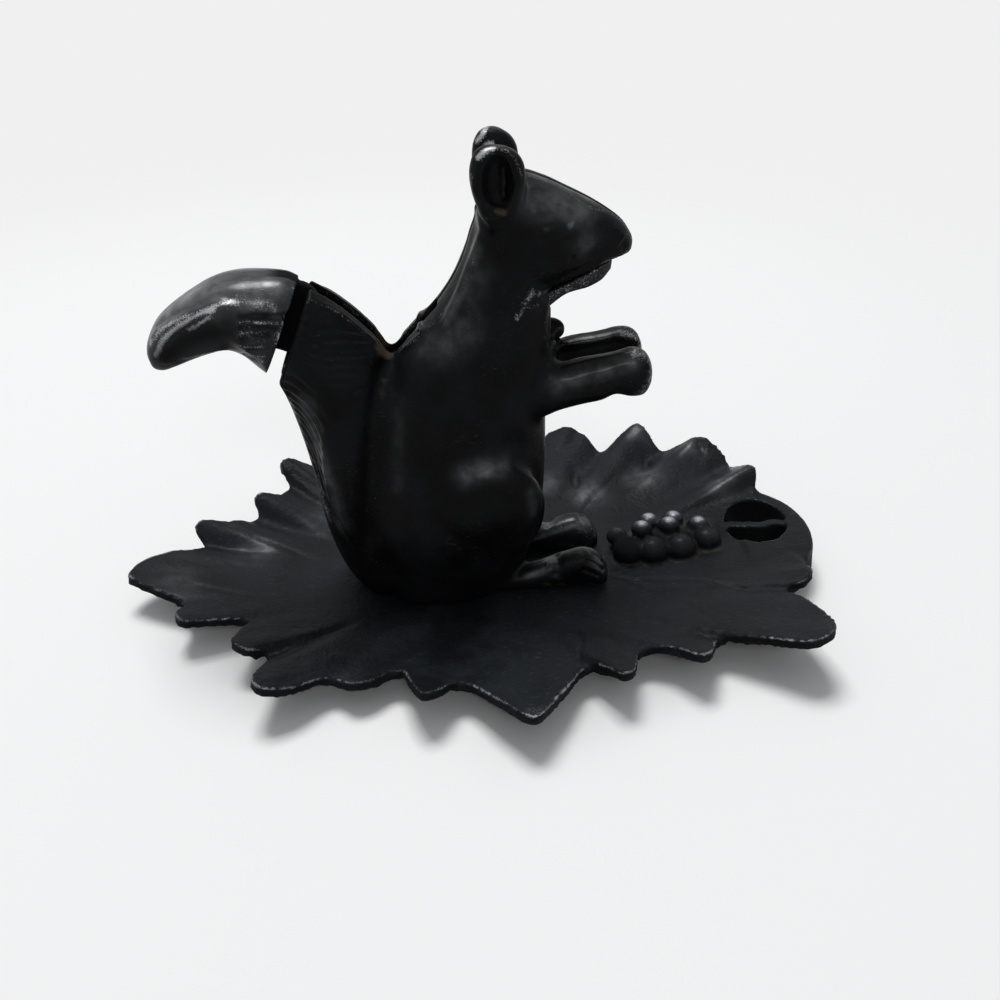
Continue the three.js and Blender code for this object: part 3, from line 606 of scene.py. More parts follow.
# Lines of the squirrel's relief: places on its side in shares, half width and height in millimetres
relief = {
    "brow": ([[0.08, 0.853], [0.099, 0.866], [0.118, 0.871], [0.139, 0.872], [0.161, 0.868],
        [0.182, 0.855]], 3.4, 0.35),
    "socket": ([[0.088, 0.838], [0.106, 0.845], [0.125, 0.851], [0.147, 0.855], [0.167, 0.854],
        [0.184, 0.843]], 2.4, -1.1),
    "underEye": ([[0.1, 0.829], [0.12, 0.825], [0.146, 0.826], [0.167, 0.834]], 1.6, -0.4),
    "eye": ([[0.116, 0.838], [0.133, 0.842], [0.149, 0.842], [0.163, 0.84]], 2.0, 0.25),
    "lowerLid": ([[0.1, 0.818], [0.128, 0.813], [0.155, 0.817], [0.178, 0.833]], 1.8, 0.25),
    "muzzle": ([[0.176, 0.79], [0.196, 0.801], [0.212, 0.811], [0.217, 0.83]], 2.4, 0.5),
    "muzzleDip": ([[0.17, 0.776], [0.196, 0.782], [0.225, 0.796], [0.24, 0.815]], 1.8, -0.5),
    "nostril": ([[0.283, 0.803], [0.293, 0.79], [0.291, 0.778]], 1.0, -0.9),
    "noseTop": ([[0.262, 0.835], [0.278, 0.822], [0.292, 0.806]], 1.6, 0.35),
    "mouthRim": ([[0.262, 0.77], [0.24, 0.761], [0.212, 0.748], [0.182, 0.737], [0.159, 0.727],
        [0.133, 0.721], [0.107, 0.718]], 1.0, 0.5),
    "overMouth": ([[0.25, 0.778], [0.22, 0.766], [0.19, 0.753], [0.16, 0.742], [0.133, 0.736]], 1.1, -0.3),
    "cheekSmear": ([[0.1, 0.716], [0.088, 0.701], [0.082, 0.687], [0.072, 0.674]], 1.7, 0.5),
    "neckRidge": ([[0.006, 0.885], [0.006, 0.862], [0.01, 0.838], [0.001, 0.812], [-0.011, 0.78],
        [-0.023, 0.75], [-0.035, 0.72], [-0.05, 0.69], [-0.068, 0.658], [-0.087, 0.628]], 2.0, 1.2),
    "neckDip": ([[0.03, 0.835], [0.02, 0.805], [0.008, 0.772], [-0.004, 0.74], [-0.018, 0.706]], 3.0, -0.6),
    "chestEdge": ([[0.144, 0.69], [0.134, 0.67], [0.13, 0.647], [0.134, 0.617], [0.147, 0.589]], 1.8, 0.5),
    "shoulder": ([[0.15, 0.566], [0.137, 0.54], [0.133, 0.512], [0.139, 0.48]], 1.8, -0.7),
    "armTop": ([[0.17, 0.548], [0.206, 0.556], [0.235, 0.562], [0.264, 0.566], [0.292, 0.572],
        [0.32, 0.578]], 1.1, 0.4),
    "armLight": ([[0.158, 0.522], [0.194, 0.53], [0.225, 0.537], [0.254, 0.544], [0.283, 0.553],
        [0.311, 0.565]], 1.9, 0.5),
    "armDark": ([[0.164, 0.5], [0.208, 0.502], [0.238, 0.504], [0.263, 0.51], [0.288, 0.515]], 2.0, -0.6),
    "claw1": ([[0.33, 0.549], [0.345, 0.545], [0.359, 0.534]], 0.7, -0.5),
    "claw2": ([[0.328, 0.523], [0.345, 0.52], [0.36, 0.515]], 0.7, -0.5),
    "valley": ([[-0.185, 0.63], [-0.19, 0.58], [-0.204, 0.527], [-0.213, 0.487], [-0.221, 0.445],
        [-0.228, 0.4], [-0.235, 0.354], [-0.241, 0.293], [-0.247, 0.23], [-0.249, 0.164], [-0.25, 0.08]],
        4.4, -2.4),
    "fur1": ([[-0.33, 0.655], [-0.305, 0.653], [-0.277, 0.646], [-0.25, 0.637], [-0.227, 0.623]],
        0.8, -0.5),
    "fur2": ([[-0.333, 0.64], [-0.304, 0.635], [-0.274, 0.63], [-0.243, 0.621], [-0.218, 0.61]], 0.8, -0.6),
    "fur3": ([[-0.329, 0.62], [-0.306, 0.617], [-0.279, 0.612], [-0.25, 0.608], [-0.216, 0.6]], 0.8, -0.6),
    "fur4": ([[-0.322, 0.602], [-0.295, 0.602], [-0.268, 0.599], [-0.24, 0.595], [-0.213, 0.589]],
        0.8, -0.6),
    "fur5": ([[-0.316, 0.584], [-0.288, 0.585], [-0.261, 0.583], [-0.233, 0.58], [-0.212, 0.575]],
        0.8, -0.5),
    "fur6": ([[-0.308, 0.566], [-0.282, 0.568], [-0.256, 0.566], [-0.23, 0.56]], 0.8, -0.4),
    "furEnd1": ([[-0.346, 0.674], [-0.341, 0.661], [-0.33, 0.651], [-0.318, 0.647]], 0.8, -0.6),
    "furEnd2": ([[-0.353, 0.653], [-0.343, 0.639], [-0.33, 0.628], [-0.316, 0.626]], 0.8, -0.6),
    "furEnd3": ([[-0.359, 0.63], [-0.346, 0.617], [-0.33, 0.608], [-0.315, 0.609]], 0.8, -0.6),
    "furEnd4": ([[-0.369, 0.609], [-0.354, 0.597], [-0.335, 0.588], [-0.32, 0.59]], 0.8, -0.6),
    "swirl1": ([[-0.326, 0.551], [-0.306, 0.549], [-0.283, 0.548], [-0.263, 0.541], [-0.249, 0.523]],
        0.9, -0.5),
    "swirl2": ([[-0.32, 0.526], [-0.331, 0.499], [-0.325, 0.471], [-0.306, 0.454], [-0.289, 0.464]],
        0.9, -0.35),
    "swirl3": ([[-0.308, 0.53], [-0.298, 0.509], [-0.29, 0.482], [-0.295, 0.464]], 0.9, -0.3),
    "swirl4": ([[-0.274, 0.508], [-0.261, 0.524], [-0.24, 0.53], [-0.225, 0.522]], 0.9, -0.5),
    "back0": ([[-0.4, 0.556], [-0.378, 0.553], [-0.361, 0.54], [-0.346, 0.526], [-0.331, 0.514]],
        1.0, -0.7),
    "back1": ([[-0.408, 0.536], [-0.385, 0.53], [-0.366, 0.519], [-0.349, 0.503], [-0.334, 0.482]],
        1.0, -0.8),
    "back2": ([[-0.41, 0.509], [-0.39, 0.507], [-0.37, 0.495], [-0.351, 0.474], [-0.337, 0.448],
        [-0.331, 0.42]], 1.0, -0.9),
    "back3": ([[-0.408, 0.492], [-0.388, 0.488], [-0.368, 0.473], [-0.352, 0.449], [-0.342, 0.417],
        [-0.337, 0.387]], 1.0, -0.9),
    "back4": ([[-0.4, 0.474], [-0.382, 0.468], [-0.365, 0.449], [-0.353, 0.421], [-0.343, 0.389],
        [-0.337, 0.356]], 1.0, -0.9),
    "back5": ([[-0.394, 0.454], [-0.376, 0.448], [-0.361, 0.422], [-0.351, 0.391], [-0.344, 0.358],
        [-0.338, 0.324]], 1.0, -0.9),
    "back6": ([[-0.388, 0.445], [-0.37, 0.422], [-0.358, 0.392], [-0.351, 0.356], [-0.343, 0.321],
        [-0.335, 0.288]], 1.0, -0.9),
    "back7": ([[-0.381, 0.422], [-0.367, 0.39], [-0.357, 0.357], [-0.35, 0.318], [-0.342, 0.282],
        [-0.332, 0.251]], 1.0, -0.9),
    "back8": ([[-0.375, 0.396], [-0.364, 0.358], [-0.357, 0.319], [-0.35, 0.277], [-0.337, 0.248],
        [-0.323, 0.22]], 1.0, -0.9),
    "back9": ([[-0.371, 0.36], [-0.361, 0.325], [-0.354, 0.283], [-0.343, 0.25], [-0.327, 0.223],
        [-0.315, 0.191]], 1.0, -0.8),
    "back10": ([[-0.366, 0.322], [-0.359, 0.283], [-0.347, 0.257], [-0.334, 0.23], [-0.318, 0.204],
        [-0.303, 0.17]], 1.0, -0.8),
    "back11": ([[-0.361, 0.288], [-0.352, 0.258], [-0.338, 0.235], [-0.322, 0.21], [-0.307, 0.18],
        [-0.289, 0.145]], 1.0, -0.7),
    "overHaunch": ([[-0.16, 0.29], [-0.135, 0.33], [-0.1, 0.365], [-0.07, 0.39], [-0.037, 0.405],
        [-0.005, 0.413], [0.03, 0.412], [0.068, 0.396], [0.1, 0.365]], 3.0, -0.4),
    "haunchArc": ([[-0.135, 0.278], [-0.113, 0.304], [-0.087, 0.329], [-0.062, 0.347], [-0.037, 0.36],
        [-0.011, 0.369], [0.014, 0.372], [0.04, 0.367], [0.061, 0.353]], 3.4, 0.5),
    "kneeEdge": ([[0.072, 0.345], [0.095, 0.324], [0.109, 0.306], [0.115, 0.281], [0.114, 0.25],
        [0.106, 0.219], [0.095, 0.184], [0.08, 0.15], [0.061, 0.116]], 3.2, 0.9),
    "belowKnee": ([[0.128, 0.26], [0.124, 0.215], [0.11, 0.17], [0.094, 0.13], [0.07, 0.09]], 2.4, -1.0),
    "footTop": ([[0.08, 0.046], [0.108, 0.052], [0.135, 0.06], [0.16, 0.07]], 1.6, 0.4),
    "footDip": ([[0.163, 0.035], [0.168, 0.05], [0.172, 0.066], [0.172, 0.08]], 1.9, -1.1),
    "toe1": ([[0.246, 0.09], [0.266, 0.078], [0.285, 0.055]], 0.8, -0.8),
    "toe2": ([[0.232, 0.083], [0.256, 0.07], [0.28, 0.045]], 0.8, -0.9),
    "toe3": ([[0.222, 0.062], [0.244, 0.052], [0.27, 0.034]], 0.8, -0.8),
    "nearLip": ([[-0.33, 0.703], [-0.313, 0.695], [-0.291, 0.682], [-0.268, 0.663], [-0.254, 0.65],
        [-0.237, 0.633], [-0.22, 0.615], [-0.201, 0.592]], 1.1, 0.45),
    "lugLip": ([[-0.163, 0.581], [-0.144, 0.598], [-0.125, 0.617], [-0.107, 0.633], [-0.092, 0.648]],
        1.1, 0.5),
    "lug": ([[-0.126, 0.628], [-0.118, 0.634], [-0.11, 0.641]], 1.5, 0.9),
}
cupLines = {
    "rim": ([[0.004, 0.925], [0.0, 0.95], [0.002, 0.978], [0.012, 0.992], [0.027, 0.997], [0.042, 0.995],
        [0.054, 0.985], [0.062, 0.965], [0.063, 0.935]], 1.2, 0.5),
    "slot": ([[0.045, 0.97], [0.047, 0.943], [0.047, 0.917], [0.05, 0.9]], 1.0, -1.2),
    "foot": ([[0.012, 0.9], [0.026, 0.892], [0.044, 0.886], [0.06, 0.888]], 1.4, 0.5),
}

screws = {
    "body": {
        "chest_screw": {"place": [0.07, 0.487], "seat": 0.5},
        "haunch_screw": {"place": [-0.02, 0.185], "seat": 0.84},
        "tail_screw": {"place": [-0.285, 0.23], "seat": 0.45},
    },
    "base": {"place": [-0.13, 0.44]},
    "hole": 2.7,
    "headRoom": 5.3,
    "bodyGrip": 14.3,
    "baseGrip": 15.3,
    "bossRadius": 6.2,
    "shank": 2.4, "headRadius": 4.8, "headHigh": 3.0, "headGap": 0.3, "slotHalf": 0.65, "slotDeep": 1.3,
    "bodyReach": 14.0, "baseLength": 19.5, "baseHead": 5.0,
    "pitch": 0.8, "threadDepth": 0.35, "threadEnds": (1.2, 10.5),
}


# A loft and a bulge to one side of the middle plane
def sideLoft(name, ribs, across, fullness=1.0):
    return loft(name, ribsFrom(ribs), sideways=across * figure["halfWidth"], fullness=fullness)


def sideBulge(side, bulge):
    x, z = spot(bulge["place"])
    long, wide, high = bulge["halves"]
    width = figure["halfWidth"]
    halves = [long * figureHeight, wide * width, high * figureHeight]
    return blob("bulge", [x, side * bulge["side"] * width, z], halves, bulge["lean"])


def earForm(side):
    width, cup = figure["halfWidth"], ear["cup"]
    ribs = ribsFrom(ear["ribs"])
    if side > 0:
        ribs[:, 0] += ear["leftInset"] * figureHeight
    lobe = loft("ear", ribs, sideways=side * ear["side"] * width, fullness=0.85)
    cupX, cupZ = spot(cup["place"])
    halfX, halfZ = np.array(cup["half"]) * figureHeight
    across = side * (ear["side"] + cup["face"]) * width
    cutBy(lobe, blob("cup", [cupX, across, cupZ], [halfX, cup["depth"] * width, halfZ]))
    return lobe


# The squirrel's whole outer form, both halves in one
def figureForm():
    tailForm = loft("tail", ribsFrom(tail["ribs"]), fullness=0.9)
    cutBy(tailForm, plate("tailCut", spots(tail["cut"]), figure["halfWidth"]))
    parts = [
        loft("trunk", ribsFrom(trunk["ribs"])),
        loft("head", ribsFrom(head["ribs"]), fullness=head["fullness"]),
        tailForm,
    ]
    for side in (-1, 1):
        leg = sideLoft("arm", arm["ribs"], side * arm["side"])
        cutBy(leg, sideLoft("armHollow", arm["hollow"], side * arm["hollowSide"], 0.7))
        parts += [earForm(side), leg, sideLoft("foot", foot["ribs"], side * foot["side"], 0.8)]
        parts += [sideBulge(side, bulge) for bulge in haunch["bulges"]]
    x, z = spot(arm["shoulder"]["place"])
    parts.append(blob("shoulder", [x, arm["shoulder"]["across"], z], arm["shoulder"]["halves"]))
    form = joinObjects("form", parts)
    recast(form, "form")
    fillCreases(form, figure["creaseRounds"])
    points = pointsOf(form)
    away, _ = distanceTo(points[:, [0, 2]], spots(haunch["runOut"]))
    soften(form, haunch["runOutRounds"], 1 - smoothStep(0.4, 1, away / haunch["runOutReach"]))
    away, _ = distanceTo(points[:, [0, 2]], spots(tail["valley"]))
    onSide = smoothStep(*tail["valleyFrom"], np.abs(points[:, 1]))
    soften(form, tail["valleyRounds"], (1 - smoothStep(0.5, 1, away / tail["valleyReach"])) * onSide)
    relax(form, figure["lastRounds"])
    return form


def jawTeeth(obj, way):
    (backX, backZ), (frontX, frontZ) = (spot(share) for share in lever["bite"])
    count = int(math.hypot(frontX - backX, frontZ - backZ) // lever["toothPitch"])
    lift = lever["biteGap"] if way > 0 else 0.0
    third, depth = lever["toothPitch"] / 3, lever["toothDepth"]
    for i in range(count):
        share = (i + 0.5) / count
        x = backX + (frontX - backX) * share
        z = backZ + (frontZ - backZ) * share + lift
        cutBy(obj, plate("tooth", [
            [x - third, z - way * depth / 2], [x + third, z - way * depth / 2], [x, z + way * depth],
        ], lever["throatHalf"]))


def clearForLever(obj):
    reach = lever["throatHalf"]
    bite = spots([rib[2:4] for rib in lever["jaw"][1:]]) + [0, lever["biteGap"]]
    cutBy(obj, plate("slot", spots(lever["slot"]), lever["slotHalf"]))
    cutBy(obj, plate("throat", np.vstack([spots(lever["throat"]), bite[::-1]]), reach))
    cutBy(obj, rodAlong("bossRoom", "y", pivot, lever["bossRoom"], -reach, reach))
    jawTeeth(obj, 1)


def ownHalf(side, name, form):
    half = copyOf(form)
    half.name = name
    seam = side * figure["seam"]
    low = [-overrun, min(seam, side * overrun), figure["base"]]
    high = [overrun, max(seam, side * overrun), overrun]
    cutBy(half, block("own", low, high), "INTERSECT")
    clearForLever(half)
    return half


# A place on the side view, laid on the surface of one side
def laidOn(tree, place, side):
    start = Vector((place[0], side * 60, place[1])) * mm
    hit = tree.ray_cast(start, Vector((0, -side, 0)))[0]
    if hit is None or hit.y * side < 0:
        hit = tree.find_nearest(Vector((place[0], side * 8, place[1])) * mm)[0]
    return np.array(hit) / mm


def surfaceOf(obj):
    return BVHTree.FromObject(obj, bpy.context.evaluated_depsgraph_get())


def laidLine(tree, line, side):
    return np.array([laidOn(tree, place, side) for place in line])


# Strokes of a relief, drawn on the side view and carved into one side or both
def carveStrokes(obj, strokes, sides):
    tree = surfaceOf(obj)
    lines = []
    for line, width, rise in strokes:
        places = curveThrough(spots(line), 3 * len(line))
        lines += [(laidLine(tree, places, side), width, rise) for side in sides]
    carve(obj, lines)


def carveSide(obj, side):
    inset = ear["leftInset"] * ear["cup"]["inset"] if side > 0 else 0
    cup = [([[x + inset, z] for x, z in line], width, rise) for line, width, rise in cupLines.values()]
    carveStrokes(obj, [*relief.values(), *cup], [side])


# Both halves are chamfered where they meet, so that the seam shows as a fine groove
def openSeam(obj):
    groove = figure["seamGroove"]
    across = np.abs(pointsOf(obj)[:, 1]) - figure["seam"]
    facing = 1 - smoothStep(*groove["facing"], np.abs(normalsOf(obj)[:, 1]))
    pushOut(obj, -groove["deep"] * bell(across, groove["wide"]) * facing)


def insetRibs(ribs, wall):
    low, high = ribs[:, 0:2], ribs[:, 2:4]
    step = (high - low) * (wall / np.linalg.norm(high - low, axis=1, keepdims=True))
    return np.column_stack([low + step, high - step, ribs[:, 4] - wall])


def hollowLoft(name, shares, steps=50, sides=48, fullness=1.0):
    return loft(name, insetRibs(ribsFrom(shares), figure["castWall"]), steps, sides, fullness=fullness)


def baseScrewSpot(side):
    along, across = screws["base"]["place"]
    return [along * figureHeight, side * across * figure["halfWidth"]]


# The hollow inside the castings, with the screws' bosses left standing
def figureHollow():
    floorZ, boss = figure["base"] + figure["floor"], screws["bossRadius"]
    hollow = hollowLoft("trunkHollow", trunk["ribs"][:7])
    cutBy(hollow, hollowLoft("tailHollow", tail["ribs"], fullness=0.9), "UNION")
    cutBy(hollow, block("overFloor", [-overrun, -overrun, floorZ], [overrun] * 3), "INTERSECT")
    for screw in screws["body"].values():
        cutBy(hollow, rodAlong("boss", "y", spot(screw["place"]), boss, -overrun, overrun))
    for side in (-1, 1):
        cutBy(hollow, rodAlong("boss", "z", baseScrewSpot(side), boss, 0.0, floorZ + screws["baseGrip"]))
    skull = hollowLoft("skullHollow", head["ribs"][1:6], 30, 40)
    floor = spots(head["skullFloor"]) + [0, figure["castWall"]]
    roof = [[floor[-1][0], overrun], [floor[0][0], overrun]]
    cutBy(skull, plate("skullRoom", [*floor, *roof], overrun), "INTERSECT")
    cutBy(hollow, skull, "UNION")
    return hollow


def boreHalf(obj, side, hollow):
    hole, baseTop = screws["hole"], figure["base"] + screws["baseGrip"]
    cutBy(obj, copyOf(hollow))
    cutBy(obj, rodAlong("pinHole", "y", pivot, lever["pinHole"], -lever["pinReach"], lever["pinReach"]))
    for screw in screws["body"].values():
        place, seat = spot(screw["place"]), screw["seat"] * figure["halfWidth"]
        cutBy(obj, rodAlong("hole", "y", place, hole, -screws["bodyGrip"], seat + 0.01))
        if side > 0:
            cutBy(obj, rodAlong("seat", "y", place, screws["headRoom"], seat, overrun))
    cutBy(obj, rodAlong("hole", "z", baseScrewSpot(side), hole, -overrun, baseTop))


form = figureForm()
report(f"squirrel's form, {len(form.data.vertices)} points")
halves = {-1: ownHalf(-1, "squirrelRight", form), 1: ownHalf(1, "squirrelLeft", form)}
dropObject(form)
hollow = figureHollow()
for side, half in halves.items():
    recast(half, "half")
    carveSide(half, side)
    openSeam(half)
    boreHalf(half, side, hollow)
    report(f"{half.name}, {len(half.data.vertices)} points")
dropObject(hollow)


def leverForm():
    blade = ribsFrom([[*rib, 0] for rib in lever["blade"]])
    blade[:, 4] = lever["bladeHalf"]
    jaw = ribsFrom(lever["jaw"])
    jaw[:, 4] *= lever["jawHalf"] / figure["halfWidth"]
    handle = loft("handle", ribsFrom(lever["handle"]), fullness=lever["fullness"])
    cutBy(handle, loft("recess", ribsFrom(lever["recess"]), fullness=0.8))
    obj = joinObjects("tailLever", [
        handle,
        loft("blade", blade, fullness=0.3),
        loft("jaw", jaw, fullness=lever["jawFullness"]),
        rodAlong("boss", "y", pivot, lever["bossRadius"], -lever["jawHalf"], lever["jawHalf"]),
    ])
    recast(obj, "lever")
    carveStrokes(obj, lever["relief"].values(), (-1, 1))
    cutBy(obj, rodAlong("pinHole", "y", pivot, lever["pinHole"], -overrun, overrun))
    jawTeeth(obj, -1)
    return obj


tailLever = leverForm()
report(f"lever, {len(tailLever.data.vertices)} points")


# A turned piece: steps of radius and place along its axis, with a thread cut between two places
def turned(name, steps, thread=(0, 0), sides=40):
    steps = np.array(steps, dtype=float)
    low, high = thread
    if high > low:
        places = np.arange(low, high, screws["pitch"] / 5)
        radius = np.interp(places, steps[:, 1], steps[:, 0])
        plain = steps[(steps[:, 1] < low) | (steps[:, 1] > high)]
        steps = np.vstack([plain, np.column_stack([radius, places])])
        steps = steps[np.argsort(steps[:, 1], kind="stable")]
    angle = 2 * np.pi * np.arange(sides) / sides
    phase = (steps[:, 1:2] / screws["pitch"] - angle[None, :] / (2 * np.pi)) % 1
    cut = screws["threadDepth"] * np.abs(2 * phase - 1)
    threaded = (steps[:, 1] > low) & (steps[:, 1] < high)
    radius = steps[:, 0:1] - cut * threaded[:, None]
    rings = np.stack([radius * np.cos(angle), radius * np.sin(angle), steps[:, 1:2] + 0 * radius], axis=2)
    return skinOver(name, rings)


# Shank down from the underside of the head, head upward, a slot across it
def slottedScrew(name, length):
    shank, top, high = screws["shank"], screws["headRadius"], screws["headHigh"]
    half, deep = screws["slotHalf"], screws["slotDeep"]
    low, thread = -length, screws["threadEnds"]
    obj = turned(name + "Turned", [
        [0.6, low], [shank - 0.6, low + 0.2], [shank, low + 1.0], [shank, -0.4], [shank + 0.25, 0.0],
        [top - 0.3, 0.0], [top, 0.3], [top, high - 0.6], [top - 0.5, high - 0.12], [top - 1.1, high],
        [0.6, high],
    ], thread=(low + thread[0], low + thread[1]))
    cutBy(obj, block("slot", [-overrun, -half, high - deep], [overrun, half, overrun]))
    return obj


def placed(obj, place, axis):
    points = pointsOf(obj)
    if axis == "y":
        points = np.column_stack([points[:, 0], points[:, 2], -points[:, 1]])
    if axis == "down":
        points = points * [1, -1, -1]
    setPoints(obj, points + np.asarray(place))
    return obj


steelPieces = {}
for node, screw in screws["body"].items():
    x, z = spot(screw["place"])
    seat = screw["seat"] * figure["halfWidth"]
    turnedScrew = slottedScrew(node, seat + screws["bodyReach"])
    steelPieces[node] = placed(turnedScrew, [x, seat + screws["headGap"], z], "y")
for side, node in ((-1, "base_screw_right"), (1, "base_screw_left")):
    turnedScrew = slottedScrew(node, screws["baseLength"])
    steelPieces[node] = placed(turnedScrew, [*baseScrewSpot(side), screws["baseHead"]], "down")
pinHalf, pinRadius = (pinHigh[1] - pinLow[1]) / 2, (pinHigh[0] - pinLow[0]) / 2
steelPieces["pivot_pin"] = placed(turned("pinTurned", [
    [0.6, -pinHalf], [pinRadius - 0.6, -pinHalf], [pinRadius, -pinHalf + 0.6], [pinRadius, -0.2],
    [pinRadius, pinHalf - 0.6], [pinRadius - 0.6, pinHalf], [0.6, pinHalf],
]), [pivot[0], 0, pivot[1]], "y")
report("turned steel")

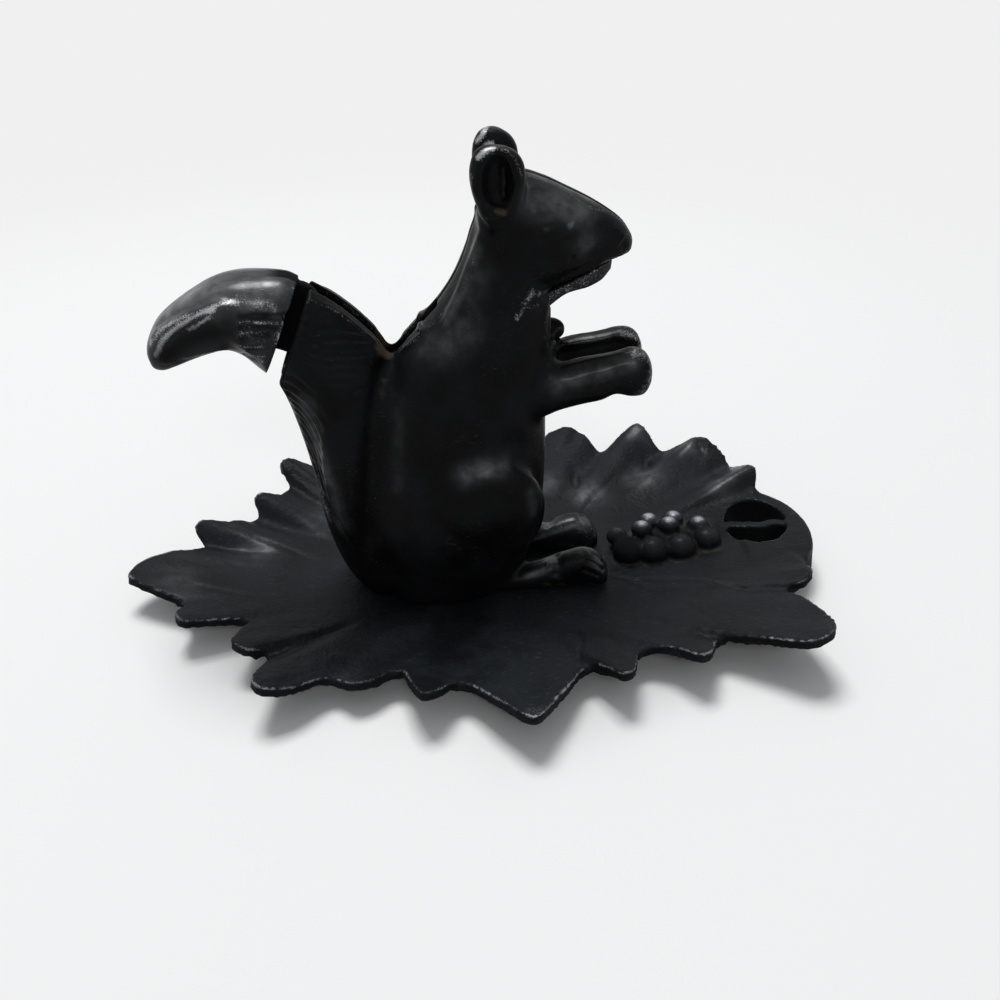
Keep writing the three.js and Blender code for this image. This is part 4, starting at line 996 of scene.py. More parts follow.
# The leaf tray. Plan places are shares of its half length and half depth
tray = {
    "halfLength": 136.5,
    "halfDepth": 96.5,
    "wall": 4.2,
    "floorTop": 9.5,
    "rise": 16.0,
    "roll": 1.1,
    "oval": [0.8, 0.72],
    "flat": 0.52,
    "tooth": 0.4,
    "around": 560,
    "rings": [0.3, 0.45, 0.52, *np.linspace(0.56, 1, 34)],
    "inset": 0.4,
    "edge": [
        [-1.0, -0.01, 0.5], [-0.955, 0.1, 0.5], [-0.903, 0.14, 0.52], [-0.845, 0.165, 0.4],
        [-0.808, 0.205, 0.34], [-0.84, 0.28, 0.6], [-0.815, 0.315, 0.66], [-0.743, 0.34, 0.52],
        [-0.664, 0.415, 0.34], [-0.677, 0.465, 0.66], [-0.66, 0.5, 0.72], [-0.61, 0.52, 0.64],
        [-0.582, 0.65, 0.42], [-0.612, 0.715, 0.78], [-0.585, 0.76, 0.82], [-0.515, 0.77, 0.64],
        [-0.42, 0.72, 0.5], [-0.365, 0.79, 0.74], [-0.305, 0.79, 0.72], [-0.235, 0.72, 0.52],
        [-0.2, 0.83, 0.84], [-0.15, 0.9, 0.86], [-0.08, 0.82, 0.56], [0.0, 0.93, 0.84], [0.075, 1.0, 1.0],
        [0.15, 0.91, 0.8], [0.215, 0.83, 0.56], [0.28, 0.915, 0.8], [0.33, 0.94, 0.86], [0.385, 0.92, 0.96],
        [0.412, 0.88, 0.88], [0.458, 0.81, 0.56], [0.53, 0.87, 0.8], [0.57, 0.905, 0.96], [0.6, 0.895, 1.0],
        [0.623, 0.855, 0.88], [0.67, 0.79, 0.56], [0.73, 0.765, 0.8], [0.778, 0.76, 1.0],
        [0.806, 0.74, 1.0], [0.842, 0.69, 0.84], [0.87, 0.595, 0.58], [0.9, 0.505, 0.88],
        [0.918, 0.47, 0.9], [0.91, 0.41, 0.6], [0.895, 0.33, 0.46], [0.87, 0.2, 0.36], [0.87, 0.06, 0.34],
        [0.88, -0.03, 0.38], [0.915, -0.13, 0.5], [0.935, -0.22, 0.6], [0.932, -0.275, 0.66],
        [0.895, -0.325, 0.6], [0.85, -0.32, 0.42], [0.876, -0.43, 0.64], [0.9, -0.585, 0.84],
        [0.895, -0.67, 0.95], [0.868, -0.725, 0.98], [0.81, -0.75, 0.92], [0.7, -0.65, 0.56],
        [0.612, -0.59, 0.34], [0.585, -0.66, 0.54], [0.558, -0.73, 0.64], [0.53, -0.745, 0.66],
        [0.462, -0.64, 0.42], [0.398, -0.62, 0.28], [0.372, -0.73, 0.54], [0.348, -0.805, 0.64],
        [0.315, -0.815, 0.64], [0.256, -0.68, 0.22], [0.17, -0.855, 0.46], [0.084, -1.0, 0.66],
        [0.0, -0.88, 0.52], [-0.082, -0.74, 0.28], [-0.14, -0.835, 0.58], [-0.18, -0.855, 0.64],
        [-0.212, -0.77, 0.58], [-0.24, -0.645, 0.24], [-0.31, -0.705, 0.24], [-0.36, -0.715, 0.28],
        [-0.408, -0.665, 0.22], [-0.5, -0.755, 0.46], [-0.572, -0.78, 0.64], [-0.6, -0.74, 0.66],
        [-0.596, -0.68, 0.6], [-0.575, -0.515, 0.22], [-0.63, -0.535, 0.5], [-0.67, -0.485, 0.52],
        [-0.66, -0.405, 0.42], [-0.645, -0.3, 0.22], [-0.75, -0.325, 0.34], [-0.815, -0.34, 0.46],
        [-0.838, -0.285, 0.46], [-0.83, -0.17, 0.22], [-0.915, -0.1, 0.34],
    ],
    # Folds that run from the edge towards the middle: edge place, length as a share, height, half width
    "folds": [
        [-0.14, 0.88, 0.23, 1.28, 4.2], [-0.085, 0.84, 0.17, -1.11, 2.8], [0.075, 0.99, 0.25, 1.45, 4.6],
        [0.12, 0.93, 0.17, -1.11, 2.6], [0.215, 0.84, 0.18, -1.03, 3.4], [0.34, 0.93, 0.23, 1.45, 4.4],
        [0.39, 0.9, 0.15, -1.2, 2.4], [0.458, 0.82, 0.17, -1.03, 3.4], [0.585, 0.89, 0.2, 1.28, 4.6],
        [0.67, 0.8, 0.18, -1.03, 3.4], [0.79, 0.75, 0.21, 1.11, 4.0], [0.86, 0.61, 0.19, -1.03, 2.6],
        [0.91, 0.48, 0.18, 1.03, 2.6], [-0.235, 0.73, 0.19, -1.03, 3.4], [-0.335, 0.79, 0.4, 1.4, 3.6],
        [-0.42, 0.73, 0.34, -1.2, 3.0], [-0.585, 0.75, 0.42, 1.6, 4.2], [-0.55, 0.66, 0.34, -1.2, 2.6],
        [-0.6, 0.54, 0.3, -1.2, 2.6], [-0.66, 0.49, 0.38, 1.5, 3.2], [-0.69, 0.4, 0.34, -1.2, 2.6],
        [-0.83, 0.3, 0.42, 1.4, 3.4], [-0.81, 0.21, 0.3, -1.2, 2.8], [-0.97, 0.0, 0.4, -0.7, 5.0],
        [-0.83, -0.17, 0.26, -1.0, 2.6], [-0.825, -0.31, 0.24, 0.55, 3.0], [-0.65, -0.3, 0.21, -0.55, 2.8],
        [-0.66, -0.49, 0.24, 0.61, 3.0], [-0.575, -0.52, 0.21, -0.5, 2.8], [-0.59, -0.75, 0.27, 0.55, 4.0],
        [-0.41, -0.67, 0.19, -0.5, 3.0], [-0.34, -0.71, 0.19, 0.44, 3.2], [-0.24, -0.65, 0.22, -0.61, 2.8],
        [-0.17, -0.84, 0.27, 0.61, 3.6], [-0.082, -0.74, 0.22, -0.55, 3.0],
        [0.084, -0.98, 0.29, -0.33, 3.4], [0.256, -0.69, 0.24, -0.61, 2.8], [0.335, -0.8, 0.26, 0.61, 3.4],
        [0.4, -0.63, 0.21, -0.55, 2.8], [0.55, -0.73, 0.24, 0.61, 3.4], [0.612, -0.6, 0.22, -0.61, 3.0],
        [0.88, -0.7, 0.34, 0.5, 5.0], [0.85, -0.33, 0.22, -0.61, 2.8], [0.93, -0.25, 0.21, 0.5, 3.0],
        [-0.74, 0.36, 0.3, 0.7, 1.4], [-0.71, 0.375, 0.28, -0.6, 1.2], [-0.885, 0.2, 0.3, 0.6, 1.4],
        [-0.87, 0.24, 0.26, -0.6, 1.2], [-0.63, 0.6, 0.3, 0.7, 1.5], [-0.6, 0.62, 0.3, -0.6, 1.2],
        [-0.5, 0.78, 0.3, 0.8, 1.6], [-0.46, 0.76, 0.3, -0.6, 1.2], [0.04, 0.97, 0.16, 0.63, 1.5],
        [0.3, 0.94, 0.16, 0.63, 1.4], [0.55, 0.9, 0.14, 0.54, 1.3], [0.62, 0.87, 0.16, 0.63, 1.4],
    ],
    # Fine veins pressed into the top, as plan shares
    "veinHalf": 0.95,
    "veinDeep": 0.7,
    "veins": [
        [[0.32, -0.06], [0.42, -0.12], [0.5, -0.24], [0.58, -0.42], [0.62, -0.56]],
        [[0.42, -0.12], [0.56, -0.16], [0.7, -0.26], [0.82, -0.4]],
        [[0.18, -0.3], [0.24, -0.46], [0.22, -0.66], [0.15, -0.84]],
        [[0.22, -0.42], [0.32, -0.52], [0.36, -0.64]],
        [[-0.1, -0.4], [-0.16, -0.54], [-0.28, -0.66]],
        [[-0.34, -0.3], [-0.46, -0.42], [-0.56, -0.6]],
        [[-0.46, -0.1], [-0.62, -0.12], [-0.8, -0.06], [-0.93, 0.0]],
        [[-0.62, -0.12], [-0.7, -0.2], [-0.78, -0.28]],
        [[-0.46, 0.1], [-0.58, 0.2], [-0.72, 0.27]],
        [[0.1, 0.34], [0.12, 0.56], [0.08, 0.78]],
        [[0.3, 0.3], [0.4, 0.5], [0.5, 0.66]],
    ],
    # Small oval hollows where two lobes meet behind the nuts: place, half sizes in millimetres
    "hollowDeep": 2.2,
    "hollows": [[0.344, 0.63, 2.0, 6.0], [0.592, 0.72, 1.8, 4.4], [0.77, 0.71, 1.8, 3.4]],
    # Broad swells of the dish: place, half size and height in millimetres
    "swells": [
        [0.38, 0.52, 9.0, 0.9], [0.57, 0.58, 9.0, 0.9], [0.59, 0.85, 6.0, 0.6], [0.74, 0.71, 6.0, 0.7],
        [0.79, 0.45, 9.0, 0.9], [0.86, 0.53, 7.0, 0.7], [0.2, 0.5, 10.0, 0.6], [-0.3, -0.45, 12.0, 0.6],
        [0.1, -0.55, 12.0, 0.7], [0.5, -0.4, 12.0, 0.8], [-0.6, 0.1, 9.0, 0.6], [0.62, -0.2, 9.0, 0.6],
    ],
    "pads": [[-0.44, 0.33], [-0.44, -0.33], [0.44, 0.33], [0.44, -0.33]],
    "padRadius": 9.0,
}
loop = {
    "along": 0.82, "across": 0.095, "halfLong": 0.18, "halfWide": 0.34, "leafEdge": 0.79,
    "hole": {"along": 0.853, "across": 0.172, "halfLong": 0.092, "halfWide": 0.162},
    "top": 15.5, "height": 11.5, "lean": 0.09, "bar": 4.0, "barDrop": 0.6,
    "stem": [[0.74, 0.185], [0.8, 0.172], [0.86, 0.15], [0.91, 0.155], [0.96, 0.12]],
}
nuts = {
    # Each place in shares, and how high it lies as a share of the radius
    "big": {
        "radius": 6.0, "flat": 1.0, "sides": 32,
        "places": [[0.44, 0.03, 0.58], [0.514, 0.02, 0.58], [0.6, 0.03, 0.58], [0.686, 0.08, 0.58]],
    },
    "small": {
        "radius": 4.4, "flat": 0.8, "sides": 28,
        "places": [
            [0.415, 0.095, 1.5], [0.49, 0.105, 2], [0.522, 0.175, 1.8], [0.576, 0.125, 2],
            [0.602, 0.205, 1.5], [0.682, 0.205, 0.8], [0.67, 0.145, 1.6],
        ],
    },
    "heap": {"along": 0.56, "across": 0.115, "halfLong": 0.165, "halfWide": 0.122, "rise": 8.2, "sink": 1.1},
}


def plan(share):
    return np.asarray(share, dtype=float)[..., :2] * [tray["halfLength"], tray["halfDepth"]]


def foldHeight(places):
    height = np.zeros(len(places))
    for x, y, length, rise, width in tray["folds"]:
        edge = plan([x, y])
        path = np.array([edge * 1.02, edge * (1 - length)])
        distance, along = distanceTo(places, path)
        height += rise * bell(distance, width) * (1 - smoothStep(0.25, 1.0, along))
    return height


def leafSheet():
    shares = np.array(tray["edge"])
    chosen = shares * [tray["halfLength"], tray["halfDepth"], tray["rise"]]
    edge = curveThrough(chosen, tray["around"], closed=True)
    angle = np.arctan2(edge[:, 1] / tray["halfDepth"], edge[:, 0] / tray["halfLength"])
    oval = np.stack([
        tray["oval"][0] * tray["halfLength"] * np.cos(angle),
        tray["oval"][1] * tray["halfDepth"] * np.sin(angle),
    ], axis=1)
    along = np.roll(edge[:, :2], -1, axis=0) - np.roll(edge[:, :2], 1, axis=0)
    outward = np.stack([along[:, 1], -along[:, 0]], axis=1)
    outward /= np.linalg.norm(outward, axis=1, keepdims=True)

    def ringAt(share):
        toothed = smoothStep(tray["tooth"], 1, share)
        place = (oval * (1 - toothed) + edge[:, :2] * toothed) * share
        climb = np.clip((share - tray["flat"]) / (1 - tray["flat"]), 0, 1)
        height = tray["floorTop"] + edge[:, 2] * climb * climb * (3 - climb) / 2
        return np.column_stack([place, height])

    top = [ringAt(share) for share in tray["rings"]]
    rim = []
    for turn in np.linspace(0, math.pi, 8)[1:-1]:
        ring = top[-1].copy()
        ring[:, :2] += outward * tray["roll"] * math.sin(turn)
        ring[:, 2] -= tray["wall"] * (1 - math.cos(turn)) / 2
        rim.append(ring)
    under = [ring - [0, 0, tray["wall"]] for ring in top[::-1]]
    rings = np.array([*top, *rim, *under])
    flat = rings.reshape(-1, 3)
    flat[:, 2] += foldHeight(flat[:, :2])
    return skinOver("leafSheet", flat.reshape(rings.shape))


def leaned(obj):
    points = pointsOf(obj)
    middle, lean = loop["along"] * tray["halfLength"], loop["lean"]
    x, z = points[:, 0] - middle, points[:, 2] - loop["top"]
    points[:, 0] = middle + x * math.cos(lean) - z * math.sin(lean)
    points[:, 2] = loop["top"] + x * math.sin(lean) + z * math.cos(lean)
    setPoints(obj, points)
    return obj


# Points round an oval that is given by its middle and half sizes in shares
def ovalOutline(oval, turn):
    along = oval["along"] + oval["halfLong"] * np.cos(turn)
    return plan(np.column_stack([along, oval["across"] + oval["halfWide"] * np.sin(turn)]))


def loopPlate():
    rounded = ovalOutline(loop, np.linspace(-math.pi / 2, math.pi / 2, 60))
    inner = plan([[loop["leafEdge"], loop["across"] + way * loop["halfWide"]] for way in (1, -1)])
    return leaned(prism("loop", np.vstack([rounded, inner]), "z", loop["top"] - loop["height"], loop["top"]))


def loopHole():
    outline = ovalOutline(loop["hole"], np.linspace(0, 2 * math.pi, 96, endpoint=False))
    return prism("hole", outline, "z", -overrun, overrun)


def stemBar():
    middle = curveThrough(plan(loop["stem"]), 40)
    half = loop["bar"] / 2
    outline = np.vstack([middle - [0, half], (middle + [0, half])[::-1]])
    return leaned(prism("stem", outline, "z", loop["top"] - loop["height"], loop["top"] - loop["barDrop"]))


def nutHeap():
    parts, floorTop = [], tray["floorTop"]
    for nut in (nuts["big"], nuts["small"]):
        radius = nut["radius"]
        for share in nut["places"]:
            x, y = plan(share)
            centre = [x, y, floorTop + radius * share[2]]
            parts.append(blob("nut", centre, [radius, radius, radius * nut["flat"]], sides=nut["sides"]))
    heap = nuts["heap"]
    x, y = plan([heap["along"], heap["across"]])
    long, wide = plan([heap["halfLong"], heap["halfWide"]])
    parts.append(blob("heap", [x, y, floorTop - heap["sink"]], [long, wide, heap["rise"]]))
    return parts


# A round swelling, 1 at its place in plan and running out over its half sizes
def hump(points, place, halves):
    away = (points[:, :2] - plan(place)) / halves
    return np.exp(-((away**2).sum(axis=1)))


# Veins, hollows and swells of the leaf's upper side, by their places in plan
def carveLeaf(obj):
    points, normals = pointsOf(obj), normalsOf(obj)
    lift = np.zeros(len(points))
    for vein in tray["veins"]:
        distance, along = distanceTo(points[:, :2], curveThrough(plan(vein), 8 * len(vein)))
        ends = (smoothStep(0, 0.2, along), 1 - smoothStep(0.7, 1, along))
        lift -= tray["veinDeep"] * bell(distance, tray["veinHalf"]) * ends[0] * ends[1]
    for x, y, halfX, halfY in tray["hollows"]:
        lift -= tray["hollowDeep"] * hump(points, [x, y], [halfX, halfY])
    for x, y, half, rise in tray["swells"]:
        lift += rise * hump(points, [x, y], half)
    points[:, 2] += lift * smoothStep(0.1, 0.5, normals[:, 2])
    setPoints(obj, points)


# The relaxed leaf is drawn out again to the tips' own reach
def fitPlan(obj, low, high):
    points = pointsOf(obj)
    least, most = points[:, :2].min(axis=0), points[:, :2].max(axis=0)
    points[:, :2] = low + (points[:, :2] - least) * (high - low) / (most - least)
    setPoints(obj, points)


def leafTray():
    leaf = joinObjects("openLeaf", [leafSheet(), loopPlate()])
    recast(leaf, "leaf")
    fitPlan(leaf, trayLow[:2] + tray["inset"], trayHigh[:2] - tray["inset"])
    carveLeaf(leaf)
    cutBy(leaf, loopHole())
    pads = [
        rodAlong("pad", "z", plan(share), tray["padRadius"], 0.0, tray["floorTop"] - tray["wall"] / 2)
        for share in tray["pads"]
    ]
    obj = joinObjects("leafTray", [leaf, stemBar(), *nutHeap(), *pads])
    recast(obj, "tray")
    points = pointsOf(obj)
    points[:, 2] = np.maximum(points[:, 2], 0)
    setPoints(obj, points)
    for side in (-1, 1):
        cutBy(obj, rodAlong("hole", "z", baseScrewSpot(side), screws["hole"], -overrun, overrun))
    return obj


leafPiece = leafTray()
report(f"tray, {len(leafPiece.data.vertices)} points")


# Wear, dust, painted sheen and painted shade are worked out on the finished meshes and kept as attributes
def keepAttribute(obj, name, values):
    layer = obj.data.attributes.new(name, "FLOAT", "POINT")
    layer.data.foreach_set("value", np.clip(values, 0, 1).astype(np.float32))


# How far each point stands out of its neighbourhood, in millimetres
def standOut(obj, rounds):
    points, normals, edges = pointsOf(obj), normalsOf(obj), edgesOf(obj)
    mean = points
    for _ in range(rounds):  # Each round spreads the mean a little wider
        mean = mean + 0.7 * (neighbourMean(mean, edges) - mean)
    return ((points - mean) * normals).sum(axis=1)


def strokesNear(obj, strokes):
    points, tree = pointsOf(obj), surfaceOf(obj)
    values = np.zeros(len(points))
    for line, radius, strength in strokes:
        for side in (-1, 1):
            path = curveThrough(laidLine(tree, spots(line), side), 4 * len(line))
            near, distance, _ = closeTo(points, path, 2.5 * radius)
            values[near] = np.maximum(values[near], strength * bell(distance, radius))
    return values


# Round marks about places on the tray's plan, used for wear, dust, painted sheen and painted shade
def marksNear(obj, marks):
    points = pointsOf(obj)
    values = np.zeros(len(points))
    for x, y, radius, strength in marks:
        away = np.linalg.norm(points[:, :2] - plan([x, y]), axis=1)
        values = np.maximum(values, strength * bell(away, radius))
    return values


# Where hands, nuts and the table have rubbed: places in shares, radius in millimetres, strength
figureRub = [
    ([[0.0, 0.986], [0.012, 0.997], [0.026, 1.001]], 1.5, 1.0),
    ([[0.018, 1.0], [0.036, 1.0], [0.054, 0.995], [0.068, 0.98], [0.08, 0.95]], 1.0, 0.5),
    ([[-0.013, 0.95], [-0.013, 0.92], [-0.008, 0.89], [-0.002, 0.86]], 1.0, 0.5),
    ([[0.1, 0.932], [0.16, 0.91], [0.22, 0.882], [0.27, 0.85], [0.29, 0.832]], 1.0, 0.34),
    ([[0.3, 0.812], [0.312, 0.792], [0.3, 0.772]], 2.0, 0.4),
    ([[0.28, 0.762], [0.245, 0.748], [0.212, 0.735], [0.182, 0.722], [0.15, 0.712], [0.12, 0.71]],
        1.3, 0.5),
    ([[0.107, 0.718], [0.092, 0.705], [0.082, 0.687], [0.072, 0.674]], 1.7, 0.46),
    ([[0.085, 0.7], [0.1, 0.69], [0.118, 0.688]], 1.2, 0.34),
    ([[0.325, 0.578], [0.348, 0.566], [0.36, 0.54], [0.357, 0.51], [0.345, 0.488]], 4.0, 0.56),
    # This stroke on the arm's top and the one on the neck ridge two lines below are partly real wear and
    # partly a painted highlight
    ([[0.19, 0.563], [0.24, 0.57], [0.3, 0.577]], 0.9, 0.3),
    ([[0.165, 0.55], [0.15, 0.575], [0.135, 0.61], [0.133, 0.65]], 1.2, 0.26),
    ([[0.006, 0.87], [0.01, 0.838], [-0.011, 0.78], [-0.035, 0.72], [-0.068, 0.658]], 1.1, 0.24),
    ([[0.246, 0.092], [0.27, 0.078], [0.287, 0.052]], 2.6, 0.36),
    ([[0.11, 0.05], [0.15, 0.066], [0.19, 0.082]], 2.2, 0.3),
    ([[-0.418, 0.53], [-0.405, 0.48], [-0.38, 0.4], [-0.36, 0.3], [-0.335, 0.2]], 2.4, 0.46),
    ([[-0.33, 0.703], [-0.291, 0.682], [-0.254, 0.65], [-0.201, 0.592]], 0.9, 0.34),
    ([[-0.163, 0.581], [-0.125, 0.617], [-0.092, 0.648], [-0.06, 0.69]], 0.9, 0.36),
]
figureDust = [
    ([[0.034, 0.886], [0.045, 0.884]], 1.5, 0.7), ([[0.0, 0.9], [0.012, 0.87]], 1.4, 0.4),
    ([[-0.19, 0.6], [-0.192, 0.575]], 2.8, 0.8), ([[-0.2, 0.53], [-0.205, 0.5]], 2.0, 0.4),
    ([[0.15, 0.02], [0.2, 0.012], [0.27, 0.012]], 2.2, 0.4),
]
leverRub = [
    ([[-0.66, 0.618], [-0.63, 0.655], [-0.6, 0.676], [-0.56, 0.692]], 1.2, 0.7),
    ([[-0.65, 0.6], [-0.62, 0.643], [-0.571, 0.68], [-0.525, 0.702], [-0.478, 0.716]], 1.3, 1.0),
    ([[-0.575, 0.655], [-0.531, 0.684], [-0.471, 0.714]], 1.0, 0.8),
    ([[-0.47, 0.675], [-0.44, 0.673], [-0.4, 0.668]], 1.0, 0.5),
    ([[-0.47, 0.652], [-0.44, 0.651], [-0.4, 0.646]], 0.9, 0.45),
    ([[-0.475, 0.61], [-0.455, 0.6], [-0.435, 0.596]], 0.8, 0.5),
    ([[-0.482, 0.63], [-0.46, 0.622], [-0.43, 0.62]], 0.8, 0.45),
    ([[-0.47, 0.72], [-0.44, 0.71], [-0.405, 0.7]], 3.0, 0.36),
    ([[-0.47, 0.66], [-0.44, 0.65], [-0.4, 0.65]], 5.0, 0.26),
    ([[-0.47, 0.6], [-0.445, 0.58], [-0.44, 0.55]], 2.0, 0.4),
    ([[-0.365, 0.725], [-0.4, 0.64], [-0.438, 0.545]], 0.8, 0.6),
    ([[-0.64, 0.585], [-0.6, 0.59], [-0.55, 0.604], [-0.51, 0.606]], 1.3, 0.3),
    ([[0.14, 0.695], [0.18, 0.71], [0.23, 0.735], [0.265, 0.753]], 2.8, 0.36),
]
trayRub = [
    [0.49, 0.105, 2.7, 1.0], [0.522, 0.175, 2.7, 1.0], [0.576, 0.125, 2.7, 1.0], [0.602, 0.205, 2.7, 1.0],
    [0.682, 0.205, 2.7, 0.9], [0.67, 0.145, 2.7, 1.0], [0.415, 0.095, 2.8, 0.5], [0.6, 0.03, 3.0, 0.2],
    [0.92, -0.27, 6.0, 0.3], [0.084, -0.98, 6.0, 0.4], [0.885, -0.72, 7.0, 0.3], [0.97, 0.1, 6.0, 0.25],
]
trayDust = [
    [0.44, 0.09, 4.0, 0.5], [0.53, 0.1, 5.0, 0.55], [0.62, 0.12, 5.0, 0.6], [0.7, 0.13, 4.0, 0.45],
    [0.34, -0.03, 6.0, 0.3], [0.3, 0.1, 8.0, 0.25],
]
# Painted shade on the tray's floor round the big nuts: place in shares, radius in millimetres, strength
trayNutShade = [[0.44, 0.04, 8.0, 1.0], [0.53, 0.07, 10.0, 1.0], [0.62, 0.08, 10.0, 1.0], [0.69, 0.12, 9.0, 1.0]]


# Painted shade: the gap between the handle and the standing tail is painted near black
def insideShade(obj, reach):
    distance, _ = distanceTo(pointsOf(obj)[:, [0, 2]], spots(tail["cut"][:2]))
    return 1 - smoothStep(0.6, 1, distance / reach)


# Painted sheen: a paler colour painted where highlights fall, with a smoother glossy coat over it
figureSheen = [
    ([[0.11, 0.9], [0.15, 0.888], [0.2, 0.866]], 5.2, 1.0), ([[0.2, 0.81], [0.216, 0.83]], 4.0, 0.5),
    ([[-0.04, 0.35], [-0.01, 0.362], [0.035, 0.362]], 3.4, 1.0),
    ([[0.1, 0.3], [0.108, 0.25]], 2.0, 0.3),
    ([[0.0, 0.86], [-0.011, 0.78], [-0.035, 0.72], [-0.068, 0.658]], 2.8, 0.7),
    ([[-0.11, 0.61], [-0.07, 0.62], [-0.03, 0.65]], 5.5, 0.6), ([[-0.02, 0.7], [0.0, 0.76]], 4.5, 0.35),
    ([[0.158, 0.522], [0.194, 0.53], [0.254, 0.544], [0.311, 0.562]], 3.4, 0.7),
    ([[-0.36, 0.5], [-0.345, 0.4], [-0.325, 0.3], [-0.305, 0.2]], 3.2, 0.6),
    ([[-0.17, 0.5], [-0.176, 0.4], [-0.182, 0.3]], 2.6, 0.16),
    ([[0.12, 0.055], [0.18, 0.08], [0.25, 0.09]], 4.5, 0.9), ([[0.26, 0.07], [0.28, 0.04]], 3.0, 0.8),
]
# Painted sheen along the top of the handle, with its coat
leverSheen = [
    ([[-0.66, 0.63], [-0.63, 0.68], [-0.58, 0.705], [-0.53, 0.725], [-0.47, 0.735], [-0.41, 0.73]],
        6.5, 1.0),
    ([[-0.45, 0.71], [-0.41, 0.705]], 3.5, 1.0), ([[-0.47, 0.6], [-0.445, 0.575]], 3.0, 0.6),
]
# Painted shade: the concave face under the handle's ridges and the grooves of its cuff are painted dark
leverShade = [
    ([[-0.635, 0.595], [-0.6, 0.62], [-0.565, 0.64], [-0.53, 0.65], [-0.505, 0.655]], 5.0, 0.95),
    ([[-0.5, 0.672], [-0.502, 0.65], [-0.51, 0.625]], 3.0, 0.7),
    ([[-0.468, 0.688], [-0.42, 0.684], [-0.38, 0.676]], 1.3, 0.8),
    ([[-0.475, 0.664], [-0.423, 0.659], [-0.395, 0.655]], 1.4, 0.8),
    ([[-0.473, 0.643], [-0.421, 0.643]], 1.4, 0.7),
]
# Painted sheen on the tray's lobes and gloss on the nut tops: place in shares, radius in millimetres,
# strength
traySheen = [
    [0.38, 0.517, 7.0, 0.8], [0.568, 0.585, 7.0, 0.8], [0.588, 0.853, 5.0, 0.6], [0.738, 0.716, 5.0, 0.8],
    [0.79, 0.449, 7.0, 0.7], [0.856, 0.532, 6.0, 0.8], [-0.45, 0.42, 8.0, 0.4], [-0.66, 0.18, 8.0, 0.4],
    [0.24, 0.6, 6.0, 0.5], [-0.86, -0.05, 8.0, 0.3], [0.49, 0.105, 4.5, 0.7], [0.576, 0.125, 4.5, 0.7],
    [0.602, 0.205, 4.5, 0.7], [0.682, 0.205, 4.5, 0.7], [0.67, 0.145, 4.5, 0.7], [0.522, 0.175, 4.5, 0.7],
    [0.5, 0.03, 5.0, 0.4], [0.6, 0.05, 5.0, 0.4], [0.69, 0.08, 5.0, 0.4],
]


# How strong each piece's wear, dust and painted shade are and where they begin and end, in millimetres where
# it is a length
wear = {
    "rounds": (3, 14), "steelRounds": (2, 3), "edges": [0.9, 0.992], "hollows": [0.1, 0.012],
    "body": {"worn": 0.34, "dust": 0.35, "shade": 6.0},
    # For body and lever, shade is the reach of the painted shade in the gap, and strokes is the strength of
    # the handle's painted shade
    "lever": {"worn": 0.45, "dust": 0.4, "shade": 16.0, "strokes": 0.9, "besideBlade": (3.0, 3.6)},
    "leaf": {
        # betweenNuts and underRim are the strengths of the painted shade on the floor round the big nuts and
        # on the faces under the rim
        "worn": 0.86, "dust": 0.4, "betweenNuts": 0.85, "overFloor": (9.8, 11.0), "underRim": 0.8,
        # The rim's wear comes and goes, and is dull where the loop handle stands
        "patches": (0.72, 0.28), "along": (0.19, 0.4), "across": (0.16, -0.9),
        "dull": [0.85, 0.17, 17.0, 0.5],
    },
}


def wearOf(obj, fine, broad):
    edgeLift, deep = standOut(obj, fine), standOut(obj, broad)
    worn = smoothStep(*np.quantile(edgeLift, wear["edges"]), edgeLift)
    hollow = smoothStep(*-np.quantile(deep, wear["hollows"]), -deep)
    return worn, hollow


def keepAll(obj, **layers):
    for name, values in layers.items():
        keepAttribute(obj, name, values)


def markBody(half):
    given = wear["body"]
    worn, hollow = wearOf(half, *wear["rounds"])
    backward = smoothStep(0.5, 0.8, -normalsOf(half)[:, 0])
    keepAll(
        half,
        worn=np.maximum(given["worn"] * worn, strokesNear(half, figureRub)),
        dust=np.maximum(given["dust"] * hollow, strokesNear(half, figureDust)),
        burnish=strokesNear(half, figureSheen),
        # Painted shade: faces turned back into the gap by the lever are painted near black
        grime=insideShade(half, given["shade"]) * backward,
    )


def markLever(obj):
    given = wear["lever"]
    worn, hollow = wearOf(obj, *wear["rounds"])
    narrow = 1 - smoothStep(*given["besideBlade"], np.abs(pointsOf(obj)[:, 1]))
    forward = smoothStep(0.5, 0.8, normalsOf(obj)[:, 0])
    # Painted shade: the lever's tang, its faces towards the gap, and the concave face and grooves of the
    # handle are painted near black
    grime = insideShade(obj, given["shade"]) * np.maximum(narrow, forward)
    grime = np.maximum(grime, given["strokes"] * strokesNear(obj, leverShade))
    fullyShaded = grime * (grime > 0.9)
    keepAll(
        obj,
        worn=np.maximum(given["worn"] * worn, strokesNear(obj, leverRub)) * (1 - fullyShaded),
        dust=given["dust"] * hollow,
        burnish=strokesNear(obj, leverSheen) * (1 - grime),
        grime=grime,
    )


